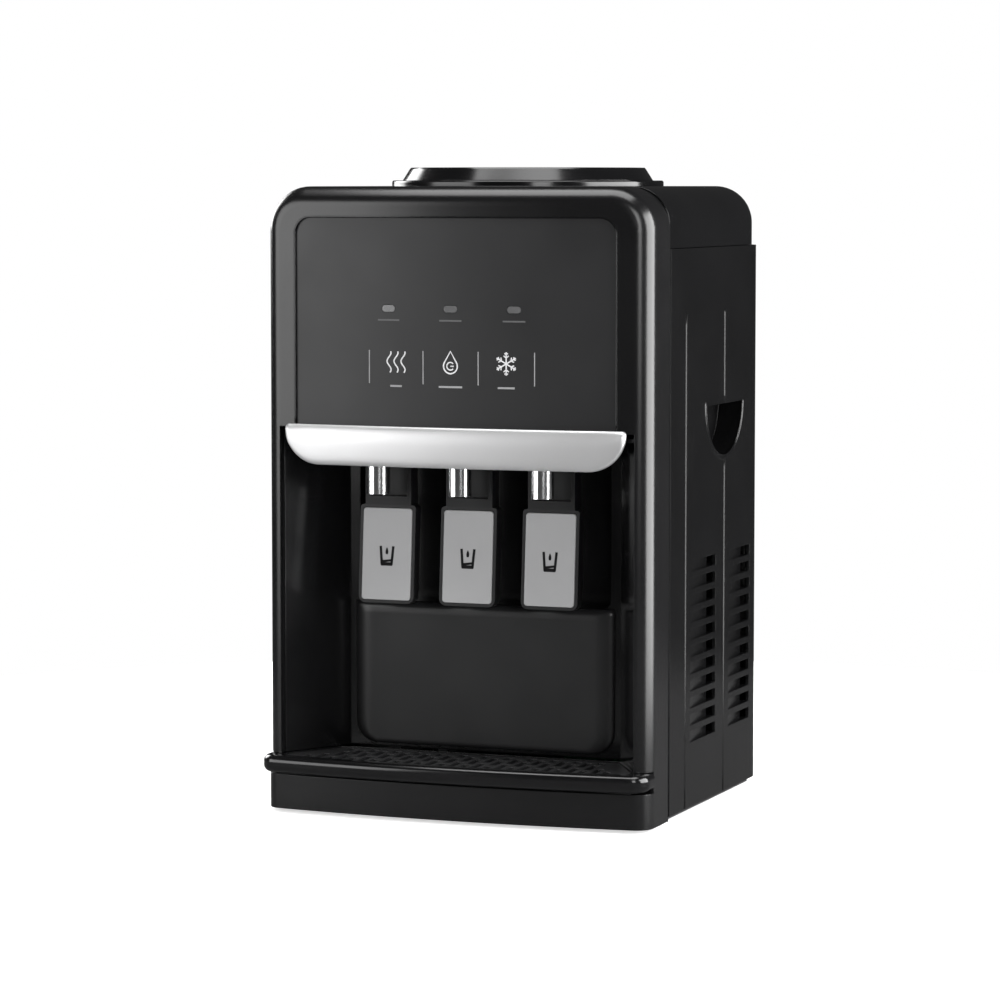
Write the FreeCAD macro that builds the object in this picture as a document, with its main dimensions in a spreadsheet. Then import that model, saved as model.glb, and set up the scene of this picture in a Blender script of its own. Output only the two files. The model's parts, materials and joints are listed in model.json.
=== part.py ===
import FreeCAD, Part
import math
import os
import re
import Sketcher

# Countertop water dispenser with three push taps: hot, normal and cold.
# Millimetres, +Z up, front towards -Y, +X to the right of a person facing the front.
# The origin is the middle of the footprint, on the surface that the rubber feet stand on.

doc = FreeCAD.newDocument("water_dispenser")
sheet = doc.addObject("Spreadsheet::Sheet", "sizes")

SIZES = {
    # overall shape
    "foot_height": 2.5,
    "body_height": 430,
    "frame_width": 280,
    "body_depth": 251,
    "front_bow": 9,
    "wall": 2.5,
    "face_wall": 6,
    "corner_radius": 30,
    "front_edge": 13,
    "seam_depth": 40,
    "fit_gap": 0.3,
    "part_gap": 0.2,
    # drip tray and apron
    "band_proud": 13,
    "apron_proud": 3,
    "side_proud": 1,
    "apron_height": 24,
    "band_gap": 2,
    "band_height": 12,
    "band_back": 12,
    "pan_inset": 3,
    "pan_floor": 2.5,
    "grille_thick": 3,
    "grille_drop": 0.8,
    "slot_long": 20,
    "slot_wide": 5,
    "slot_pitch": 8.4,
    "slot_row": 25,
    # fascia
    "panel_half": 117,
    "panel_height": 142,
    "panel_thick": 1.5,
    "panel_sunk": 1.5,
    "panel_corner": 12,
    "lens_pitch": 45.5,
    "lens_long": 9.5,
    "lens_tall": 4.6,
    "lens_up": 80,
    # trim bar
    "bar_half": 124,
    "bar_height": 27.5,
    "bar_bottom": 240,
    "bar_corner": 26,
    "bar_proud": 4,
    # niche
    "niche_half": 129,
    "niche_back_half": 100.5,
    "niche_deep": 64.5,
    "niche_top": 259.5,
    "bay_half": 93,
    "bay_bottom": 141.5,
    "bay_deep": 24.5,
    "splash_half": 96,
    "splash_thick": 4,
    "splash_corner": 15,
    # taps
    "tap_pitch": 60,
    "spout_back": 18,
    "spout_radius": 8,
    "spout_bore": 5.5,
    "spout_bottom": 220,
    "tap_radius": 12,
    "tap_bottom": 243,
    "tap_top": 257,
    "tail_radius": 5,
    "tail_height": 249,
    "nut_radius": 10,
    "nut_thick": 6,
    "pivot_radius": 1.5,
    "pivot_back": 36,
    "pivot_height": 251,
    "arm_wide": 34,
    "arm_wall": 3,
    "pad_wide": 41,
    "pad_tall": 68,
    "pad_bottom": 143,
    "pad_thick": 9,
    "pad_back": 31,
    "pad_lean": 5,
    "insert_edge": 2.2,
    "insert_thick": 2,
    "plunger_radius": 3.5,
    "spring_radius": 5.2,
    "spring_wire": 0.45,
    "spring_turns": 4,
    # side panels
    "side_top": 388,
    "side_lift": 3,
    "side_step": 0.5,
    "rear_corner": 22,
    "groove_wide": 3,
    "groove_deep": 1,
    "groove_front": 74,
    "groove_rear": 160,
    "groove_top": 343,
    "louver_count": 11,
    "louver_pitch": 11.8,
    "louver_tall": 7.5,
    "louver_bottom": 48,
    "louver_front": 85,
    "louver_front_long": 56,
    "louver_rear": 171,
    "louver_rear_long": 49,
    "grip_centre": 160,
    "grip_long": 84,
    "grip_tall": 38,
    "grip_top": 279,
    "grip_deep": 18,
    # top cover, collar and bottle seat
    "top_edge": 26,
    "well_y": 26,
    "step_radius": 96,
    "step_height": 4,
    "collar_radius": 88.5,
    "rim_radius": 83.5,
    "rim_height": 9,
    "rim_wall": 3,
    "seat_neck": 32,
    "probe_radius": 11,
    # water system
    "tank_radius": 54,
    "tank_wall": 1,
    "tank_bottom": 280,
    "tank_tall": 100,
    "foam_thick": 14,
    "hot_x": -56,
    "hot_y": 58,
    "hot_radius": 38,
    "hot_bottom": 80,
    "hot_tall": 118,
    "jacket_thick": 12,
    "hose_radius": 4.5,
    "hose_bore": 3,
    # cooling
    "cold_block": 10,
    "chip_thick": 3.8,
    "chip_wide": 40,
    "sink_base": 5,
    "sink_wide": 90,
    "cool_height": 325,
    "fan_wide": 80,
    "fan_deep": 15,
    "fan_gap": 4,
    "fan_hub": 14,
    # rear
    "rear_inset": 1,
    "rear_half": 106,
    "switch_x": 60,
    "switch_pitch": 28,
    "switch_height": 236,
    "switch_wide": 15,
    "switch_tall": 21,
    "drain_height": 46,
    "drain_cup": 17,
    "gland_x": 78,
    "gland_height": 40,
    "foot_radius": 9,
    "screw_radius": 1.5,
}

for row, (alias, value) in enumerate(SIZES.items(), start=1):
    sheet.set(f"A{row}", alias)
    sheet.set(f"B{row}", str(value))
    sheet.setAlias(f"B{row}", alias)

# Places that several pieces share, each worked out from the sizes above.
PLACES = {
    "half": "frame_width / 2",
    "bow_r": "(frame_width * frame_width / 4 + front_bow * front_bow) / (2 * front_bow)",
    "back_y": "(band_proud + front_bow + body_depth) / 2",
    "end_y": "back_y - body_depth",
    "front_y": "end_y - front_bow",
    "seam_y": "end_y + seam_depth",
    "top_z": "foot_height + body_height",
    "apron_top": "foot_height + apron_height",
    "band_z": "apron_top + band_gap",
    "band_top": "band_z + band_height",
    "frame_z": "band_top + fit_gap",
    "apron_back": "end_y - apron_proud + band_back",
    "bar_z": "foot_height + bar_bottom",
    "bar_top": "bar_z + bar_height",
    "panel_z": "bar_top",
    "panel_top": "panel_z + panel_height",
    "border_bow": "front_bow * (1 - (niche_half + wall) * (niche_half + wall) / (half * half))",
    "niche_y": "end_y + face_wall - border_bow + fit_gap",
    "niche_back": "front_y + niche_deep",
    "niche_ceiling": "foot_height + niche_top",
    "bay_back": "niche_back + bay_deep",
    "bay_z": "foot_height + bay_bottom",
    "pan_back": "niche_back - splash_thick - 4 - wall",
    "pan_half": "niche_half - pan_inset",
    "pan_slope": "(niche_half - niche_back_half) / (niche_back - niche_y + 1)",
    "pan_back_half": "niche_back_half + (niche_back - pan_back) * pan_slope - pan_inset",
    "spout_y": "front_y + spout_back",
    "spout_z": "foot_height + spout_bottom",
    "tap_z": "foot_height + tap_bottom",
    "tap_head": "foot_height + tap_top",
    "tail_z": "foot_height + tail_height",
    "pivot_y": "front_y + pivot_back",
    "pivot_z": "foot_height + pivot_height",
    "pad_z": "foot_height + pad_bottom",
    "pad_y": "front_y + pad_back",
    "side_x": "half + side_step",
    "side_z": "foot_height + side_lift",
    "side_head": "foot_height + side_top",
    "cover_x": "half - side_step",
    "cover_back": "back_y - side_step",
    "rear_y": "back_y - rear_inset",
    "step_z": "top_z + step_height",
    "rim_z": "step_z + rim_height",
    "tank_z": "foot_height + tank_bottom",
    "tank_top": "tank_z + tank_tall",
    "block_y": "well_y + tank_radius - 2",
    "chip_y": "block_y + cold_block",
    "sink_y": "chip_y + chip_thick",
    "fan_y": "rear_y - wall - fan_gap - fan_deep",
    "sink_fin": "fan_y - part_gap - sink_base - sink_y",
    "cool_z": "foot_height + cool_height",
    "hot_z": "foot_height + hot_bottom",
    "hot_top": "hot_z + hot_tall",
}

places = doc.addObject("Spreadsheet::Sheet", "places")
doc.recompute()


def bound(text):
    """An expression in which each size or place name is looked up in its sheet."""
    def look_up(match):
        word = match.group(0)
        if word in SIZES:
            return "sizes." + word
        if word in PLACES:
            return "places." + word
        return word
    return re.sub(r"[a-z_]+[a-z]", look_up, str(text))


for row, (alias, formula) in enumerate(PLACES.items(), start=1):
    places.set(f"A{row}", alias)
    places.set(f"B{row}", "=" + bound(formula))
    places.setAlias(f"B{row}", alias)
doc.recompute()


def number(text):
    """The present value of an expression, for the few shapes that no parameter drives."""
    return float(doc.getObject("sizes").evalExpression(bound(text)))


PIECES = []


def piece(shape_object, label):
    """Name a finished sub-part."""
    shape_object.Label = label
    PIECES.append(shape_object)
    return shape_object


def place(item, x, y, z):
    for axis, value in (("x", x), ("y", y), ("z", z)):
        item.setExpression("Placement.Base." + axis, bound(value))


def box(name, x0, x1, y0, y1, z0, z1):
    item = doc.addObject("Part::Box", name)
    item.setExpression("Length", bound(f"({x1}) - ({x0})"))
    item.setExpression("Width", bound(f"({y1}) - ({y0})"))
    item.setExpression("Height", bound(f"({z1}) - ({z0})"))
    place(item, x0, y0, z0)
    return item


TURNS = {
    "z": FreeCAD.Rotation(),
    "y": FreeCAD.Rotation(FreeCAD.Vector(1, 0, 0), -90),
    "x": FreeCAD.Rotation(FreeCAD.Vector(0, 1, 0), 90),
}


def rod(name, radius, x, y, z, length, along="z"):
    item = doc.addObject("Part::Cylinder", name)
    item.setExpression("Radius", bound(radius))
    item.setExpression("Height", bound(length))
    item.Placement = FreeCAD.Placement(FreeCAD.Vector(), TURNS[along])
    place(item, x, y, z)
    return item


def sketch_on(body, role, points):
    """A closed outline of straight lines on one of the body's own origin planes."""
    plane = [item for item in body.Origin.OriginFeatures if item.Role == role][0]
    sketch = body.newObject("Sketcher::SketchObject", body.Name + "_outline")
    sketch.AttachmentSupport = [(plane, "")]
    sketch.MapMode = "FlatFace"
    corners = [(number(u), number(v)) for u, v in points]
    count = len(corners)
    for index in range(count):
        start = FreeCAD.Vector(*corners[index], 0)
        end = FreeCAD.Vector(*corners[(index + 1) % count], 0)
        sketch.addGeometry(Part.LineSegment(start, end))
    for index in range(count):
        sketch.addConstraint(Sketcher.Constraint("Coincident", index, 2, (index + 1) % count, 1))
    for index, (u, v) in enumerate(points):
        for kind, text, value in (("DistanceX", u, corners[index][0]),
            ("DistanceY", v, corners[index][1])):
            which = sketch.addConstraint(Sketcher.Constraint(kind, -1, 1, index, 1, value))
            sketch.setExpression(f"Constraints[{which}]", bound(text))
    return sketch


PLANES = {"xy": "XY_Plane", "xz": "XZ_Plane", "yz": "YZ_Plane"}


def prism(name, plane, points, low, high):
    """A straight pad of an outline, from low to high along the outline's normal axis."""
    body = doc.addObject("PartDesign::Body", name)
    sketch = sketch_on(body, PLANES[plane], points)
    offset = f"-({high})" if plane == "xz" else low
    sketch.setExpression("AttachmentOffset.Base.z", bound(offset))
    pad = body.newObject("PartDesign::Pad", name + "_pad")
    pad.Profile = sketch
    pad.setExpression("Length", bound(f"({high}) - ({low})"))
    doc.recompute()
    return body


def soften(body, radius, chosen):
    """A PartDesign fillet on the edges that the chooser accepts."""
    edges = [f"Edge{n}" for n, edge in enumerate(body.Shape.Edges, start=1) if chosen(edge)]
    base = body.Tip
    fillet = body.newObject("PartDesign::Fillet", body.Name + "_round")
    fillet.Base = (base, edges)
    fillet.setExpression("Radius", bound(radius))
    doc.recompute()
    return body


def lathe(name, points, x, y):
    """A turned piece: its half outline (radius, height) goes once round a vertical axis."""
    body = doc.addObject("PartDesign::Body", name)
    sketch = sketch_on(body, "XZ_Plane", points)
    turn = body.newObject("PartDesign::Revolution", name + "_turn")
    turn.Profile = sketch
    turn.ReferenceAxis = (sketch, ["V_Axis"])
    turn.Angle = 360
    place(body, x, y, 0)
    doc.recompute()
    return body


def fuse(name, *items):
    joined = doc.addObject("Part::MultiFuse", name)
    joined.Shapes = list(items)
    joined.Refine = True
    doc.recompute()
    return joined


def group(name, *items):
    """Separate solids of one kind that share a node."""
    held = doc.addObject("Part::Compound", name)
    held.Links = list(items)
    doc.recompute()
    return held


def cut(name, base, *tools):
    tool = tools[0] if len(tools) == 1 else group(name + "_tools", *tools)
    result = doc.addObject("Part::Cut", name)
    result.Base = base
    result.Tool = tool
    doc.recompute()
    return result


def common(name, first, second):
    result = doc.addObject("Part::MultiCommon", name)
    result.Shapes = [first, second]
    doc.recompute()
    return result


def rounded(name, base, radius, chosen):
    """A Part fillet on the edges that the chooser accepts."""
    size = number(radius)
    result = doc.addObject("Part::Fillet", name)
    result.Base = base
    result.Edges = [(n, size, size) for n, edge in enumerate(base.Shape.Edges, start=1) if chosen(edge)]
    doc.recompute()
    return result


def mirrored(name, source):
    result = doc.addObject("Part::Mirroring", name)
    result.Source = source
    result.Normal = (1, 0, 0)
    doc.recompute()
    return result


def middle(edge):
    return edge.valueAt((edge.FirstParameter + edge.LastParameter) / 2)


def span(edge, axis):
    return getattr(edge.BoundBox, axis + "Length")


def upright(edge):
    """An edge that runs straight up."""
    return span(edge, "Z") > 1 and span(edge, "X") < 0.01 and span(edge, "Y") < 0.01


def along_y(edge):
    return span(edge, "Y") > 1 and span(edge, "X") < 0.01 and span(edge, "Z") < 0.01


def bow(name, proud):
    """The tall cylinder whose front is the bowed front face, moved forward by proud."""
    item = rod(name, "bow_r", 0, f"front_y + bow_r - ({proud})", -10, "body_height + 60")
    doc.recompute()
    return item


def on_bow(proud):
    """A chooser for the edges that lie on that cylinder."""
    radius = number("bow_r")
    centre = number(f"front_y + bow_r - ({proud})")

    def chosen(edge):
        point = middle(edge)
        return abs(math.hypot(point.x, point.y - centre) - radius) < 0.01
    return chosen


def hose(name, points, bend, radius, bore):
    """A hose of straight runs joined by tangent arcs, bored through."""
    stops = [FreeCAD.Vector(*[number(value) for value in point]) for point in points]
    edges = []
    last = stops[0]
    for before, corner, after in zip(stops, stops[1:], stops[2:]):
        back = (before - corner).normalize()
        ahead = (after - corner).normalize()
        half_turn = (math.pi - back.getAngle(ahead)) / 2
        reach = bend * math.tan(half_turn)
        start = corner + back * reach
        end = corner + ahead * reach
        inward = (back + ahead).normalize()
        mid = corner + inward * (bend / math.cos(half_turn) - bend)
        edges.append(Part.LineSegment(last, start).toShape())
        edges.append(Part.Arc(start, mid, end).toShape())
        last = end
    edges.append(Part.LineSegment(last, stops[-1]).toShape())
    path = Part.Wire(edges)
    direction = stops[1] - stops[0]
    solids = []
    for size in (radius, bore):
        ring = Part.Wire([Part.makeCircle(size, stops[0], direction)])
        solids.append(path.makePipeShell([ring], True, True))
    item = doc.addObject("Part::Feature", name)
    item.Shape = solids[0].cut(solids[1])
    return item


# ---------------------------------------------------------------- base

def make_base():
    floor = box("base_floor", "-half + wall + side_step", "half - wall - side_step",
                "seam_y + fit_gap", "rear_y - wall - fit_gap", "foot_height", "foot_height + wall")
    rim_outer = box("base_rim_outer", "-half + wall + side_step", "half - wall - side_step",
                    "seam_y + fit_gap", "rear_y - wall - fit_gap", "foot_height", "foot_height + 22")
    rim_inner = box("base_rim_inner", "-half + 2 * wall + side_step", "half - 2 * wall - side_step",
                    "seam_y - 20", "rear_y - 2 * wall - fit_gap",
                    "foot_height + wall", "foot_height + 30")
    shell = cut("base_shell", fuse("base_block", floor, rim_outer), rim_inner)
    side_room = [
        box(f"base_corner_{n}", x0, x1, "rear_y - rear_corner", "back_y + 1", "foot_height - 1",
            "foot_height + 40")
        for n, (x0, x1) in enumerate((("-half - 1", "-rear_half + 4"), ("rear_half - 4", "half + 1")))
    ]
    trimmed = cut("base_trimmed", shell, *side_room)
    tongue = box("base_tongue", "-half + 12", "half - 12", "apron_back + fit_gap", "seam_y + 5",
                 "foot_height", "foot_height + wall")
    shelf = box("base_shelf", "-half + 20", "half - 20", "apron_back + fit_gap", "niche_back",
                "apron_top - wall", "apron_top")
    webs = [
        box(f"base_web_{n}", f"{x} - 1.5", f"{x} + 1.5", "apron_back + fit_gap", "niche_back",
            "foot_height", "apron_top - wall")
        for n, x in enumerate(("-90", "-30", "30", "90"))
    ]
    posts = [
        box(f"hot_post_{n}", x0, x1, "hot_y - 6", "hot_y + 6", "foot_height", "hot_z - jacket_thick")
        for n, (x0, x1) in enumerate((("hot_x - 36", "hot_x - 28"), ("hot_x + 28", "hot_x + 36")))
    ]
    board_posts = [
        rod(f"board_post_{n}", 3, x, y, "foot_height", 16)
        for n, (x, y) in enumerate(((24, 4), (100, 4), (24, 84), (100, 84)))
    ]
    return piece(fuse("base", trimmed, tongue, shelf, *webs, *posts, *board_posts), "base_chassis")


def make_feet():
    feet = [
        rod(f"foot_{n}", "foot_radius", x, y, 0, "foot_height")
        for n, (x, y) in enumerate((("-half + 26", "seam_y - 12"), ("half - 26", "seam_y - 12"),
                                    ("-half + 40", "rear_y - 26"), ("half - 40", "rear_y - 26")))
    ]
    return piece(group("feet", *feet), "rubber_feet")


def bowed_block(name, proud, half_width, back, low, high, corner):
    """A block whose front is the bow, with its two front corners rounded in plan."""
    block = box(name + "_block", f"-({half_width})", half_width, "front_y - 40", back, low, high)
    bowed = common(name + "_bowed", block, bow(name + "_bow", proud))
    touching = on_bow(proud)
    return rounded(name + "_plan", bowed, corner, lambda edge: upright(edge) and touching(edge))


def make_apron():
    outer = bowed_block("apron_outer", "apron_proud", "half", "apron_back", "foot_height", "apron_top",
        12)
    inner = bowed_block("apron_inner", "apron_proud - wall", "half - wall", "apron_back + 5",
                        "foot_height - 1", "apron_top - wall", 9.5)
    shell = cut("apron_shell", outer, inner)
    ribs = [
        box(f"apron_rib_{n}", f"{x} - 1.2", f"{x} + 1.2", "front_y + 4", "apron_back", "foot_height + 1",
            "apron_top - 1")
        for n, x in enumerate((-100, -50, 0, 50, 100))
    ]
    return piece(fuse("apron", shell, *ribs), "base_apron")


def pan_block(name, grow, front, low, high):
    """A block with the pan's outline in plan: straight in front, then drawn in along the niche's walls."""
    return prism(name, "xy", [
        (f"-pan_half - {grow}", front), (f"pan_half + {grow}", front),
        (f"pan_half + {grow}", "niche_y"), (f"pan_back_half + {grow}", f"pan_back + {grow}"),
        (f"-pan_back_half - {grow}", f"pan_back + {grow}"), (f"-pan_half - {grow}", "niche_y")], low,
        high)


def make_tray():
    band = bowed_block("band", "band_proud", "half + side_proud", "apron_back", "band_z", "band_top", 13)
    touching = on_bow("band_proud")
    side = number("half + side_proud")

    def lip(edge):
        point = middle(edge)
        level = span(edge, "Z") < 0.01
        flank = abs(abs(point.x) - side) < 0.01
        corner = abs(point.x) > side - 13 and point.y < number("apron_back") - 1
        return level and (touching(edge) or flank or corner)
    soft_band = rounded("band_soft", band, 4.5, lip)
    keel = pan_block("tray_keel", "wall", "front_y + 4", "apron_top + fit_gap", "band_top")
    solid = fuse("tray_solid", soft_band, keel)
    hollow_block = pan_block("tray_hollow_block", 0, "front_y - 20", "apron_top + pan_floor",
        "band_top + 5")
    hollow = common("tray_hollow", hollow_block, bow("tray_hollow_bow", "band_proud - 8"))
    ledge_height = "band_top - grille_drop - grille_thick"
    posts = [
        rod(f"tray_post_{n}", 3, x, y, "apron_top + fit_gap", f"{ledge_height} - apron_top - fit_gap")
        for n, (x, y) in enumerate((("-pan_half + 8", "front_y + 14"), ("pan_half - 8", "front_y + 14"),
                                    ("-pan_back_half + 8", "pan_back - 6"),
                                    ("pan_back_half - 8", "pan_back - 6"),
                                    (0, "front_y + 8"), (0, "pan_back - 6")))
    ]
    pan = cut("tray_pan", solid, hollow)
    return piece(fuse("tray", pan, *posts), "drip_tray")


def make_grille():
    plate_block = pan_block("grille_block", "-fit_gap", "front_y - 20",
                            "band_top - grille_drop - grille_thick", "band_top - grille_drop")
    plate = common("grille_plate", plate_block, bow("grille_bow", "band_proud - 8 - fit_gap"))
    low = number("band_top - grille_drop - grille_thick") - 1
    deep = number("grille_thick") + 2
    pitch = number("slot_pitch")
    wide = number("slot_wide")
    row = number("slot_row")
    edge = 4
    bend = number("bow_r")
    front = number("front_y - (band_proud - 8)") + edge
    back = number("pan_back") - edge

    def room(y):
        """Half the width that slots may take at this depth."""
        taper = max(0, y - number("niche_y")) * number("pan_slope")
        return number("pan_half") - taper - edge
    slots = []
    columns = int(number("pan_half") / pitch)
    for column in range(-columns, columns + 1):
        x = column * pitch
        y = front + x * x / (2 * bend)
        length = number("slot_long")
        if column % 2:
            length = length / 2
        while y < back - wide:
            length = min(length, back - y)
            if abs(x) + wide / 2 < room(y + length):
                slots.append((x, y, length))
            y += length + row - number("slot_long")
            length = number("slot_long")
    shape = Part.makeCompound([
        Part.makeBox(wide, length, deep, FreeCAD.Vector(x - wide / 2, y, low)) for x, y, length in slots
    ])
    holes = doc.addObject("Part::Feature", "grille_slots")
    holes.Shape = shape
    return piece(cut("grille", plate, holes), "drip_grille")


# ---------------------------------------------------------------- front

def arch(name, inset, low, front, back, proud):
    """A block with the two rounded top corners of the body and a bowed front."""
    block = prism(name + "_block", "xz", [
        (f"-half + {inset}", low), (f"half - {inset}", low),
        (f"half - {inset}", f"top_z - {inset}"), (f"-half + {inset}", f"top_z - {inset}")], front, back)
    height = number(f"top_z - {inset}")
    soften(block, f"corner_radius - {inset}",
        lambda edge: along_y(edge) and abs(middle(edge).z - height) < 0.01)
    return common(name, block, bow(name + "_bow", proud))


def make_frame():
    outer = arch("frame_outer", 0, "frame_z", "front_y - 30", "seam_y", 0)
    touching = on_bow(0)
    low = number("frame_z")
    soft = rounded("frame_soft", outer, "front_edge",
        lambda edge: touching(edge) and middle(edge).z > low + 1)
    inner = arch("frame_inner", "wall", "frame_z - 5", "front_y - 30", "seam_y + 5", "-face_wall")
    recess_block = prism("recess_block", "xz", [
        ("-panel_half - part_gap", "panel_z - 4"), ("panel_half + part_gap", "panel_z - 4"),
        ("panel_half + part_gap", "panel_top + part_gap"), ("-panel_half - part_gap",
            "panel_top + part_gap")],
        "front_y - 30", "front_y + 40")
    height = number("panel_top + part_gap")
    soften(recess_block, "panel_corner", lambda edge: along_y(edge) and abs(middle(edge).z - height) < 0.01)
    recess = cut("recess", recess_block, bow("recess_bow", "-panel_thick - panel_sunk - 0.1"))
    opening = box("niche_opening", "-niche_half", "niche_half", "front_y - 30", "seam_y + 1",
                  "frame_z - 5", "bar_top - 2")
    lens_holes = [
        box(f"lens_hole_{hand}", f"{n} * lens_pitch - lens_long / 2 - part_gap",
            f"{n} * lens_pitch + lens_long / 2 + part_gap", "front_y - 20", "front_y + 40",
            "panel_z + lens_up - lens_tall / 2 - part_gap",
            "panel_z + lens_up + lens_tall / 2 + part_gap")
        for hand, n in (("left", -1), ("middle", 0), ("right", 1))
    ]
    shell = cut("frame_shell", soft, inner, opening, recess, *lens_holes)
    legs = [
        box(f"frame_leg_{n}", x0, x1, "apron_back + fit_gap", "seam_y", "foot_height", "frame_z + 10")
        for n, (x0, x1) in enumerate((("-half", "-half + wall"), ("half - wall", "half")))
    ]
    ties = [
        box(f"frame_tie_{n}", x0, x1, "apron_back + fit_gap", "seam_y", "foot_height",
            "foot_height + wall")
        for n, (x0, x1) in enumerate((("-half", "-half + 11.7"), ("half - 11.7", "half")))
    ]
    return piece(fuse("frame", shell, *legs, *ties), "front_frame")


def make_panel():
    block = prism("panel_block", "xz", [
        ("-panel_half", "panel_z - 3"), ("panel_half", "panel_z - 3"),
        ("panel_half", "panel_top"), ("-panel_half", "panel_top")], "front_y - 30", "front_y + 40")
    height = number("panel_top")
    soften(block, "panel_corner - part_gap",
        lambda edge: along_y(edge) and abs(middle(edge).z - height) < 0.01)
    sheet_part = common("panel_outer", block, bow("panel_front", "-panel_sunk"))
    thin = cut("panel_thin", sheet_part, bow("panel_rear", "-panel_sunk - panel_thick"))
    windows = [
        lens_shape(f"window_{n}", n - 1, "part_gap", "front_y - 20", "front_y + 40") for n in range(3)
    ]
    return piece(cut("panel", thin, *windows), "control_panel")


def lens_shape(name, n, grow, front, back):
    bar = prism(name, "xz", [
        (f"{n} * lens_pitch - lens_long / 2 - {grow}", f"panel_z + lens_up - lens_tall / 2 - {grow}"),
        (f"{n} * lens_pitch + lens_long / 2 + {grow}", f"panel_z + lens_up - lens_tall / 2 - {grow}"),
        (f"{n} * lens_pitch + lens_long / 2 + {grow}", f"panel_z + lens_up + lens_tall / 2 + {grow}"),
        (f"{n} * lens_pitch - lens_long / 2 - {grow}", f"panel_z + lens_up + lens_tall / 2 + {grow}")],
        front, back)
    return soften(bar, f"lens_tall * 0.45 + {grow}", along_y)


def make_lenses():
    lenses = [
        common(f"lens_cut_{n}", lens_shape(f"lens_{n}", n - 1, 0, "front_y - 20", "front_y + 11"),
               bow(f"lens_bow_{n}", "-panel_sunk + part_gap"))
        for n in range(3)
    ]
    return piece(group("lenses", *lenses), "indicator_lenses")


def make_led_board():
    board = box("led_plate", "-lens_pitch - 14", "lens_pitch + 14", "front_y + 11.3", "front_y + 12.9",
                "panel_z + lens_up - 14", "panel_z + lens_up + 14")
    bosses = [
        box(f"led_boss_{n}", f"{x} - 3", f"{x} + 3", "front_y + 7", "front_y + 11.4",
            "panel_z + lens_up - 11", "panel_z + lens_up - 6")
        for n, x in enumerate((-24, 24))
    ]
    return piece(fuse("led", board, *bosses), "led_board")


def make_bar():
    block = prism("bar_block", "xz", [
        ("-bar_half", "bar_z"), ("bar_half", "bar_z"), ("bar_half", "bar_top"), ("-bar_half", "bar_top")],
        "front_y - 30", "front_y + 40")
    low = number("bar_z")
    soften(block, "bar_corner", lambda edge: along_y(edge) and abs(middle(edge).z - low) < 0.01)
    front = common("bar_front", block, bow("bar_bow", "bar_proud"))
    touching = on_bow("bar_proud")
    soft = rounded("bar_soft", front, 2.2, touching)
    thin = cut("bar_thin", soft, bow("bar_rear", "part_gap"))
    return piece(thin, "silver_trim_bar")


def make_liner():
    wide = [("-niche_half - wall", "niche_y"), ("niche_half + wall", "niche_y"),
            ("niche_back_half + wall", "niche_back + wall"),
            ("-niche_back_half - wall", "niche_back + wall")]
    clear = [("-niche_half", "niche_y - 1"), ("niche_half", "niche_y - 1"),
             ("niche_back_half", "niche_back"), ("-niche_back_half", "niche_back")]
    outer = prism("liner_outer", "xy", wide, "frame_z", "niche_ceiling + wall")
    inner = prism("liner_inner", "xy", clear, "frame_z - 5", "niche_ceiling")
    bay_outer = box("bay_outer", "-bay_half - wall", "bay_half + wall", "niche_back - 1",
        "bay_back + wall",
                    "bay_z - wall", "niche_ceiling + wall")
    bay_inner = prism("bay_inner", "xz", [
        ("-bay_half", "bay_z"), ("bay_half", "bay_z"), ("bay_half", "niche_ceiling"),
        ("-bay_half", "niche_ceiling")],
        "niche_back - 10", "bay_back")
    low = number("bay_z")
    soften(bay_inner, 6, lambda edge: along_y(edge) and abs(middle(edge).z - low) < 0.01)
    tails = [
        rod(f"tail_hole_{n}", "tail_radius + part_gap", f"{n} * tap_pitch - tap_pitch", "bay_back - 5",
            "tail_z", 20, "y")
        for n in range(3)
    ]
    return piece(cut("liner", fuse("liner_solid", outer, bay_outer), inner, bay_inner, *tails),
        "niche_liner")


def make_splash():
    block = prism("splash_block", "xz", [
        ("-splash_half", "band_top + 3"), ("splash_half", "band_top + 3"),
        ("splash_half", "bay_z - 0.5"), ("-splash_half", "bay_z - 0.5")],
        "niche_back - splash_thick", "niche_back")
    low = number("band_top + 3")
    soften(block, "splash_corner", lambda edge: along_y(edge) and abs(middle(edge).z - low) < 0.01)
    front = number("niche_back - splash_thick")
    soften(block, "splash_thick * 0.7", lambda edge: abs(middle(edge).y - front) < 0.01)
    return piece(block, "backsplash_panel")


# ---------------------------------------------------------------- taps

TAPS = (("hot", -1), ("normal", 0), ("cold", 1))


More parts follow.
